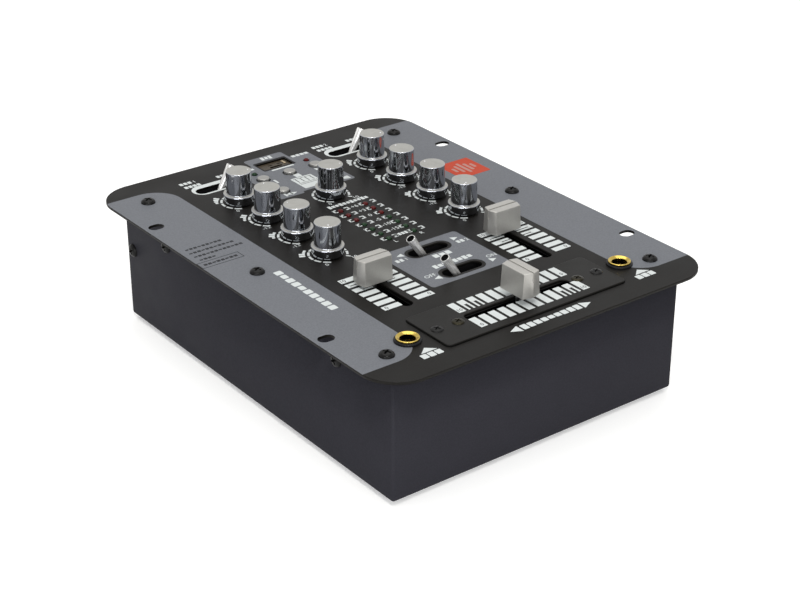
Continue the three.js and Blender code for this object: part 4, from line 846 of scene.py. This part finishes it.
black_steel = coated("black_steel", (0.0070, 0.0068, 0.0066), 0.28, grain_mm=0.003, dusty=0.1, shine=0.13)
dull_brass = metal("dull_brass", (0.027, 0.0245, 0.0165), 0.32, 3.0, 0.003, 0.12)
for index, node in enumerate(screw_nodes):
    seated_screw(node, f"panel_screw_head_{index + 1}", PANEL_TOP, black_steel, "black_screw")
for node in plate_screws:
    kind = (black_steel, "black_screw") if "plate" in node else (dull_brass, "brass_screw")
    seated_screw(node, f"{node}_head", plate_high[2], *kind)
box_low, box_high = corners_of("chassis_pan")
WALL_SCREWS = ((117.4, 45.0), (79.6, 61.8), (-79.6, 61.8))
WALL_SCREW_R, WALL_SCREW_RISE = 3.9, 1.9
for side, wall, way in (("left", box_low[0], -1), ("right", box_high[0], 1)):
    for index, (y, z) in enumerate(WALL_SCREWS):
        head = domed_screw(f"{side}_wall_screw_{index + 1}", (wall, y, z), WALL_SCREW_R, WALL_SCREW_RISE,
                           black_steel, (way, 0, 0))
        dress(head, "black_screw")


# Knobs: moulded and chrome plated, with a bright waist, a turned satin top and a broad skirt.
# Each is pushed on its control's spindle; a small dimple near the edge of the top is the pointer.
def eased(profile, radius, steps=5):
    """A profile with every inner corner cut over a short parabola that starts and ends `radius` from it."""
    corners = np.asarray(profile, float)
    before, corner, after = corners[:-2], corners[1:-1], corners[2:]
    back = np.linalg.norm(before - corner, axis=1, keepdims=True)
    ahead = np.linalg.norm(after - corner, axis=1, keepdims=True)
    reach = np.minimum(radius, 0.45 * np.minimum(back, ahead))
    start = corner + (before - corner) / back * reach
    end = corner + (after - corner) / ahead * reach
    t = np.linspace(0, 1, steps)[None, :, None]
    curve = (1 - t) ** 2 * start[:, None] + 2 * t * (1 - t) * corner[:, None] + t**2 * end[:, None]
    return np.concatenate([corners[:1], curve.reshape(-1, 2), corners[-1:]])


def turned_points(profile, sides):
    """Surface of revolution: the profile's point (r, z) at angle a lies at (r cos a, r sin a, z)."""
    angle = np.linspace(0, 2 * np.pi, sides, endpoint=False)
    r, z = np.asarray(profile, float).T
    height = np.repeat(z[:, None], sides, 1)
    points = np.stack([np.outer(r, np.cos(angle)), np.outer(r, np.sin(angle)), height], -1)
    return points.reshape(-1, 3), woven(len(r), sides)


def turned(name, profile, sides, place, material, degrees=30):
    """A turned piece standing on its place."""
    points, faces = turned_points(profile, sides)
    return lay(name, points + np.array(place), faces, material, degrees)


def on_panel(place):
    """The point of the panel's face at a place."""
    return np.array((place[0], place[1], PANEL_TOP))


RING_WAVE = 42.0
chrome = metal("bright_chrome", (0.42, 0.43, 0.455), 0.06, 1.2, 0.0012, 0.05)


def spun(name, colour, gloss, middle):
    """A turned satin face: fine rings about a middle, as the sine of the distance from it times RING_WAVE."""
    material, tree, shader = principled(name, Metallic=0.75)
    point = object_millimetres(tree)
    offset = vectors(tree, "SUBTRACT", point, (float(middle[0]), float(middle[1]), 0.0))
    reach = vectors(tree, "LENGTH", vectors(tree, "MULTIPLY", offset, (1.0, 1.0, 0.0)))
    uneven = reckon(tree, "ADD", reach, noise(tree, point, 0.9))
    rings = reckon(tree, "SINE", reckon(tree, "MULTIPLY", uneven, RING_WAVE))
    rings = reckon(tree, "MULTIPLY_ADD", rings, 0.5, 0.5)
    rub = use_effect(tree, handled, point, Line_Scale=2.0)["Rub"]
    body = blend_colours(tree, rub, colour, shaded(colour, DULLED))
    surfaced(tree, shader, body, between(tree, rub, 0.0, 1.0, gloss, gloss + 0.08), rings, 0.0012)
    return material


KNOB_TOP = 19.05
SHOULDER = 5.4
knob_side = eased([(0, 4.1), (6.4, 4.1), (6.4, 0.9), (8.35, 0.9), (8.95, 5.5), (8.7, 6.05), (7.42, 6.15),
                   (7.32, 6.5), (7.05, 18.75), (6.75, KNOB_TOP), (5.9, KNOB_TOP)], 0.3, 7)
top_rings = np.column_stack([np.linspace(6.2, 0, 30), np.full(30, KNOB_TOP)])
knob_profile = np.concatenate([knob_side[:-1], top_rings])
limits = {joint["child"]: joint.get("range_deg") for joint in frame["joints"]}
POINTER_REACH = 5.0
POINTER_R = 0.7
POINTER_DEPTH = 0.35
spindle = eased([(0, -9.0), (3.0, -9.0), (3.0, 4.1), (0, 4.1)], 0.2)
for node, place in zip(knob_nodes, knob_places):
    body = node.removesuffix("_knob")
    points, faces = turned_points(knob_profile, 120)
    pointer = 90 - sum(limits[body]) / 2
    away = np.linalg.norm(points[:, :2] - POINTER_REACH * outward(pointer), axis=1)
    pressed = np.clip((POINTER_R - away) / 0.3, 0, 1) * (points[:, 2] > KNOB_TOP - 0.01)
    points[:, 2] -= POINTER_DEPTH * pressed
    knob = lay(f"{body}_knob_shell", points + on_panel(place), faces, chrome, 32)
    knob.data.materials.append(spun(f"{body}_knob_top", (0.375, 0.37, 0.345), 0.34, place))
    sides = knob.data.polygons
    over_skirt = rows_of(sides, "center")[:, 2] > (PANEL_TOP + SHOULDER) * MM
    satin = (rows_of(sides, "normal")[:, 2] > 0.8) & over_skirt
    sides.foreach_set("material_index", satin.astype(np.int32))
    dress(knob, "chromed_plastic", node, body=body)
    dress(turned(f"{body}_spindle", spindle, 32, on_panel(place), chrome), "chrome", body=body)


# Toggle levers: turned brass bats, bright chromed, that widen from the slot to a dished end.
# Each swings on a cross pin in its switch body under the panel.
TIP_R = 2.5
NECK_R = 1.9
DRAWN_OUT = 0.96
dish_black = coated("dish_black", (0.006, 0.006, 0.006), 0.45, shine=0.12)
hub_profile = eased([(0, -5.6), (1.1, -5.6), (1.1, -3.2), (2.9, -3.2), (2.9, 3.2), (1.1, 3.2), (1.1, 5.6),
                     (0, 5.6)], 0.2)


def drawn(name, colour, gloss, axis):
    """Plated bar: light and dark bands along an axis, as noise on the point less DRAWN_OUT of its way along
    it; they are partly drawn lines and partly painted reflection streaks.
    """
    material, tree, shader = principled(name, Metallic=0.62)
    point = object_millimetres(tree)
    along = reckon(tree, "MULTIPLY", vectors(tree, "DOT_PRODUCT", point, axis), DRAWN_OUT)
    shift = add_node(tree, "VectorMath", {0: axis, "Scale": along}, operation="SCALE").outputs[0]
    grain_and_streaks = noise(tree, vectors(tree, "SUBTRACT", point, shift), 1.7, 2.0)
    # Painted reflection: the bands from 0.62 to 1.3 times the colour stand partly for streaked reflections in
    # the plating.
    body = blend_colours(tree, between(tree, grain_and_streaks, 0.40, 0.60), shaded(colour, 0.62), shaded(colour, 1.3))
    roughness = between(tree, grain_and_streaks, 0.35, 0.65, gloss + 0.06, gloss - 0.04)
    surfaced(tree, shader, body, roughness, grain_and_streaks, 0.02)
    return material


def lever(body, reach, tilt):
    """A bat turned about Z, widening from its pivot's neck at the panel's face to a dished end; it is then
    leaned about Y at its pivot."""
    pivot = np.array([j["pos_m"] for j in frame["joints"] if j["child"] == body][0]) / MM
    depth = PANEL_TOP - pivot[2]
    profile = eased([(0, -1.0), (NECK_R, -1.0), (NECK_R, depth - 1.0), (TIP_R, reach - 0.3),
                     (TIP_R - 0.1, reach - 0.02), (TIP_R - 0.32, reach - 0.02), (TIP_R - 0.48, reach - 0.4),
                     (1.7, reach - 2.4), (0, reach - 2.4)], 0.25, 5)
    points, faces = turned_points(profile, 56)
    lean = np.radians(tilt)
    turn = np.array([(np.cos(lean), 0, np.sin(lean)), (0, 1, 0), (-np.sin(lean), 0, np.cos(lean))])
    axis = (float(np.sin(lean)), 0.0, float(np.cos(lean)))
    bat_chrome = drawn(f"{body}_bat_chrome", (0.73, 0.72, 0.70), 0.26, axis)
    bat = lay(f"{body}_bat", points @ turn.T + pivot, faces, bat_chrome, 32)
    bat.data.materials.append(dish_black)
    upright = (rows_of(bat.data.polygons, "center") / MM - pivot) @ turn
    in_dish = (upright[:, 2] > reach - 2.6) & (np.linalg.norm(upright[:, :2], axis=1) < TIP_R - 0.42)
    bat.data.polygons.foreach_set("material_index", in_dish.astype(np.int32))
    dress(bat, "chrome", f"{body}_lever", body=body)
    points, faces = turned_points(hub_profile, 32)
    dress(lay(f"{body}_hub", points[:, [0, 2, 1]] + pivot, faces, black_steel, 32), "chrome", body=body)


for body, reach, tilt in (("left_source", 22.3, 29.5), ("right_source", 22.3, 29.5), ("cue", 20.3, -35),
                          ("takeover", 20.3, -35)):
    lever(body, reach, tilt)


# Fader caps: moulded blocks in satin silver paint, long across the travel, whose ends come out to a ridge.
# A groove over the top and down both ridges is the pointer; the cap pushes onto its slider's flat lever.
def crisp(node, name, material, edge):
    """A copy of a CAD node with flat faces made whole and every hard edge rounded by a small bevel."""
    piece = softened(node, name, material, 30)
    work = bmesh.new()
    work.from_mesh(piece.data)
    bmesh.ops.dissolve_limit(work, angle_limit=np.radians(5), verts=work.verts, edges=work.edges)
    work.to_mesh(piece.data)
    work.free()
    piece.data.polygons.foreach_set("use_smooth", np.ones(len(piece.data.polygons), bool))
    bevel = piece.modifiers.new("eased_edges", "BEVEL")
    bevel.width = edge * MM
    bevel.segments = 3
    bevel.limit_method = "ANGLE"
    bevel.angle_limit = np.radians(12)
    bevel.harden_normals = True
    return piece


silver_paint = coated("satin_silver_paint", (0.42, 0.41, 0.385), 0.34, 9.0, 0.003, 0.05, 0.0, Metallic=0.7)
slider_steel = metal("slider_steel", (0.16, 0.16, 0.16), 0.3, 4.0, 0.002)
# Painted shade: the zinc plated slider frames are made near black, so that the slots look dark inside.
frame_shade_black = metal("frame_painted_shade", (0.006, 0.006, 0.006), 0.45, 2.0, 0.004)
for body in ("left_fader", "right_fader", "crossfader"):
    cap = crisp(f"{body}_cap", f"{body}_cap_shell", silver_paint, 0.2)
    dress(cap, "satin_cap", f"{body}_cap", body=body)
    clad(f"{body}_slider", f"{body}_lever", slider_steel, "black_plastic", body=body)
    clad(f"{body}_body", f"{body}_frame", frame_shade_black, "zinc_plate")


# Player buttons: turned silver caps with a slight crown and a rounded edge, proud of their holes.
# Each has a flange under the panel that keeps it in, and a stem that rests on its switch.
button_profile = eased([(0, -8.4), (1.8, -8.4), (1.8, -2.8), (4.55, -2.8), (4.55, -1.85), (3.5, -1.85),
                        (3.5, 1.15), (3.1, 1.52), (1.6, 1.59), (0, 1.6)], 0.3, 5)
for body, place in zip(button_bodies, button_places):
    finish = spun(f"{body}_button_face", (0.31, 0.305, 0.29), 0.32, place)
    cap = turned(f"{body}_button_cap", button_profile, 56, on_panel(place), finish)
    dress(cap, "satin_cap", f"{body}_button", body=body)


# Jack sockets: gold plated flared bushes over a black ring, with a deep bore and a dark liner.
# The ring clamps each socket to the panel, and its body hangs in the box.
gold = metal("polished_gold", (0.54, 0.39, 0.09), 0.12, 3.0, 0.001, 0.08)
ring_black = coated("ring_black", (0.008, 0.008, 0.009), 0.34, 4.0, shine=0.12)
liner_black = coated("liner_black", (0.004, 0.0035, 0.003), 0.5, 4.0, shine=0.1)
flare = eased([(4.7, -2.4), (4.7, 1.45), (5.9, 1.5), (5.9, 2.1), (5.6, 2.28), (5.3, 2.25), (3.95, 1.42),
               (3.9, 0.9), (3.95, -4.0), (4.7, -4.0), (4.7, -2.4)], 0.14, 5)
liner = [(3.85, -1.7), (3.3, -1.7), (3.3, -23.6), (0, -23.6), (0, -24.6), (5.5, -24.6), (5.5, -4.2),
         (3.85, -4.2), (3.85, -1.7)]
clamp_ring = eased([(5.0, 0), (6.9, 0), (6.9, 0.9), (6.45, 1.3), (5.0, 1.3), (5.0, 0)], 0.25, 5)
for body, place in zip(("mic", "phones"), jack_places):
    foot = on_panel(place)
    dress(turned(f"{body}_bush", flare, 80, foot, gold), "gold", f"{body}_jack")
    dress(turned(f"{body}_liner", liner, 48, foot, liner_black), "black_plastic")
    ring = turned(f"{body}_clamp_ring", clamp_ring, 80, foot, ring_black)
    dress(ring, "black_plastic", f"{body}_jack_ring")


# Lamps: small round lenses in clear red or green plastic, unlit, standing just proud of their holes.
# The level meter has six red and eight green ones in two columns, and the player one of each colour.
LENS_R = 1.55
LENS_FOOT, LENS_WALL, LENS_RISE = -1.4, 0.1, 1.15


def lens(name, place, colour):
    """A turned cap whose crown is a part of a sphere."""
    bend = np.linspace(0, np.pi / 2, 12)
    crown = np.column_stack([LENS_R * np.cos(bend), LENS_WALL + LENS_RISE * np.sin(bend)])
    foot, top = [(0, LENS_FOOT), (LENS_R, LENS_FOOT)], [(0, LENS_WALL + LENS_RISE)]
    profile = np.concatenate([foot, crown[:-1], top])
    dress(turned(name, profile, 32, on_panel(place), colour, 50), "black_plastic")


def clear_plastic(name, colour):
    """A dyed lens: dark and glossy, with a slow drift in its colour."""
    return coated(name, colour, 0.12, 2.0, 0.001, 0.2, 0.0, 0.15)


red_lens = clear_plastic("red_lens", (0.070, 0.005, 0.005))
green_lens = clear_plastic("green_lens", (0.012, 0.034, 0.014))
for index, place in enumerate(meter_places):
    lens(f"meter_lamp_{index + 1}", place, red_lens if index < 6 else green_lens)
lens("player_lamp_1", player_lamp_places[0], clear_plastic("deep_green_lens", (0.008, 0.03, 0.012)))
lens("player_lamp_2", player_lamp_places[1], red_lens)


# Media socket: a nickel shell behind a browned front plate with a latch, in a dark lined window in the panel.
# The plate hides the box's rear flange, which runs under the window's far side.
nickel = metal("warm_nickel", (0.42, 0.33, 0.21), 0.22, 3.0, 0.002, 0.15)
nickel_in_painted_shade = metal("nickel_in_painted_shade", (0.10, 0.08, 0.05), 0.32, 3.0, 0.002, 0.15)
browned_nickel = coated("browned_nickel", (0.044, 0.033, 0.020), 0.4, 0.9, drift=0.6, shine=0.2)
# Painted shade: the socket's nickel shell is made dark, so that the mouths in the flange over it look dark
# inside.
clad("media_socket", "socket_shell", nickel_in_painted_shade, "zinc_plate")


def in_window(x, y, width, length, radius, steps=4):
    """A rounded rectangle by its place from the window's middle."""
    return long_hole((socket_place[0] + x, WINDOW_Y + y), width, length, radius=radius, steps=steps)


def window_sheet(name, outline, holes, low, high, edge, material, slot):
    """A punched sheet in the window, its levels counted from the panel's face."""
    holes = [in_window(*hole) for hole in holes]
    sheet = punched_sheet(name, in_window(*outline), holes, PANEL_TOP + low, PANEL_TOP + high, edge, material)
    dress(sheet, slot)


wide, tall = WINDOW
window_sheet("window_lining", (0, 0, wide + 1.6, tall + 1.6, 1.4), [(0, 0, wide - 1.0, tall - 1.0, 0.6)],
             -4.2, -1.52, 0.1, liner_black, "black_plastic")
window_sheet("window_lip", (0, 0, wide - 0.1, tall - 0.1, 0.85), [(0, 0, wide - 2.0, tall - 3.2, 0.5)],
             -1.49, -0.15, 0.1, liner_black, "black_plastic")
window_sheet("socket_flange", (0, 0, 20.4, 10.6, 0.6),
             [(0.4, -1.4, 8.4, 1.6, 0.4, 3), (-2.0, 1.5, 3.0, 0.9, 0.3, 3), (4.0, 1.5, 3.0, 0.9, 0.3, 3)],
             -1.45, -1.15, 0.08, browned_nickel, "zinc_plate")
window_sheet("socket_latch", (7.2, 1.5, 1.5, 4.4, 0.4, 3), [], -1.14, -0.85, 0.08, nickel, "zinc_plate")


# Circuit boards and switch bodies: green boards with dark cased controls, and black moulded switches.
# They hang under the panel or stand on posts in the box, and show only through its openings.
BOARD_THICK = 1.6


def board(name, low):
    """Green solder mask where the height lies in the board's thickness, and dark cases beyond it."""
    material, tree, shader = principled(name)
    point = object_millimetres(tree)
    marks = use_effect(tree, skin, point, Grain_Scale=1.4, Cloud_Scale=0.2)
    height = add_node(tree, "SeparateXYZ", {0: point}).outputs["Z"]
    high = low + BOARD_THICK
    above = between(tree, height, low - 0.06, low - 0.04)
    below = between(tree, height, high + 0.04, high + 0.06, 1.0, 0.0)
    traces = between(tree, marks["Grain"], 0.5, 0.53)
    green = blend_colours(tree, traces, (0.012, 0.075, 0.035), (0.02, 0.12, 0.05))
    case = blend_colours(tree, marks["Cloud"], (0.03, 0.03, 0.032), (0.07, 0.07, 0.075))
    body = blend_colours(tree, reckon(tree, "MULTIPLY", above, below), case, green)
    surfaced(tree, shader, body, between(tree, marks["Cloud"], 0.3, 0.7, 0.3, 0.45), traces, 0.03)
    return material


BOARDS = {"control": (62.9, ("left_pot_board", "right_pot_board", "meter_board")),
          "player": (58.4, ("player_board",)), "main": (12.2, ("main_board",))}
for kind, (low, board_nodes) in BOARDS.items():
    mask = board(f"{kind}_board_mask", low)
    for node in board_nodes:
        clad(node, f"{node}_assembly", mask, "circuit_board")
switch_black = coated("switch_black", (0.006, 0.006, 0.0065), 0.5, shine=0.12)
for node in (*source_nodes, "cue_switch_block"):
    clad(node, f"{node}_case", switch_black, "black_plastic")


# Rear connections: ten sound sockets on one moulded board, a ground terminal and a power inlet.
# Each sound socket is a nickel barrel round a coloured collar, white above and red below.
def on_rear_wall(name, profile, sides, x, z, material, slot, *replaced):
    """A turned piece laid with its axis along Y, starting at the rear wall."""
    points, faces = turned_points(profile, sides)
    laid = points[:, [0, 2, 1]] * (1, 1, -1) + np.array([x, box_high[1], z])
    dress(lay(name, laid, faces, material, 32), slot, *replaced)


rear_black = coated("rear_black", (0.012, 0.012, 0.013), 0.42)
clad("rear_socket_board", "rear_sockets", rear_black, "black_plastic", 30)
clad("power_inlet", "inlet_shell", rear_black, "black_plastic", 35)
barrel_nickel = metal("barrel_nickel", (0.62, 0.60, 0.56), 0.18, 3.0, 0.002, 0.12)
white_collar = coated("white_collar", (0.72, 0.71, 0.68), 0.4, drift=0.03, dusty=0.05)
red_collar = coated("red_collar", (0.50, 0.02, 0.02), 0.4, drift=0.05, dusty=0.05)
barrel = eased([(3.1, 0.2), (4.35, 0.2), (4.35, 1.2), (4.2, 1.4), (4.2, 8.2), (3.9, 8.5), (3.1, 8.5),
                (3.1, 0.2)], 0.2)
collar = eased([(1.75, 5.0), (3.15, 5.0), (3.15, 8.3), (1.75, 8.15), (1.75, 5.0)], 0.15)
terminal_place = middle_of("ground_terminal")
upper_z = corners_of("rear_socket_board")[1][2] - 5.5
for column, x in enumerate(np.linspace(-62, 34, 5)):
    for row, z, colour in (("upper", upper_z, white_collar), ("lower", terminal_place[2], red_collar)):
        on_rear_wall(f"{row}_barrel_{column + 1}", barrel, 48, x, z, barrel_nickel, "zinc_plate")
        on_rear_wall(f"{row}_collar_{column + 1}", collar, 40, x, z, colour, "black_plastic")
knurl = metal("zinc_knurl", (0.52, 0.52, 0.50), 0.28, 2.2, 0.08, 0.1, (4.0, 0.4, 4.0))
terminal = eased([(0, -4.2), (1.9, -4.2), (1.9, 0.2), (3.2, 0.2), (3.2, 1.4), (4.5, 1.6), (4.5, 6.6),
                  (4.1, 7.0), (0, 7.0)], 0.25)
on_rear_wall("ground_screw", terminal, 48, terminal_place[0], terminal_place[2], knurl, "zinc_plate",
             "ground_terminal")


# Feet: four moulded rubber pads pushed through the floor of the box.
# Each has a hollowed sole and a barbed stem that keeps it in its hole.
foot_rubber = coated("foot_rubber", (0.014, 0.014, 0.014), 0.75, 2.2, 0.02)
foot_profile = eased([(0, 0.55), (4.0, 0.4), (5.4, 0.0), (6.9, 0.0), (7.5, 0.9), (7.3, 2.95), (2.5, 3.0),
                      (2.5, 4.2), (3.6, 4.25), (2.5, 6.0), (0, 6.0)], 0.35, 5)
for corner in ("left_front", "left_rear", "right_front", "right_rear"):
    x, y, _ = middle_of(f"{corner}_foot")
    pad = turned(f"{corner}_pad", foot_profile, 56, (x, y, 0), foot_rubber)
    dress(pad, "rubber", f"{corner}_foot")


# The finished mixer's bounds are measured over every shown object but the table.
low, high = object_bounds()
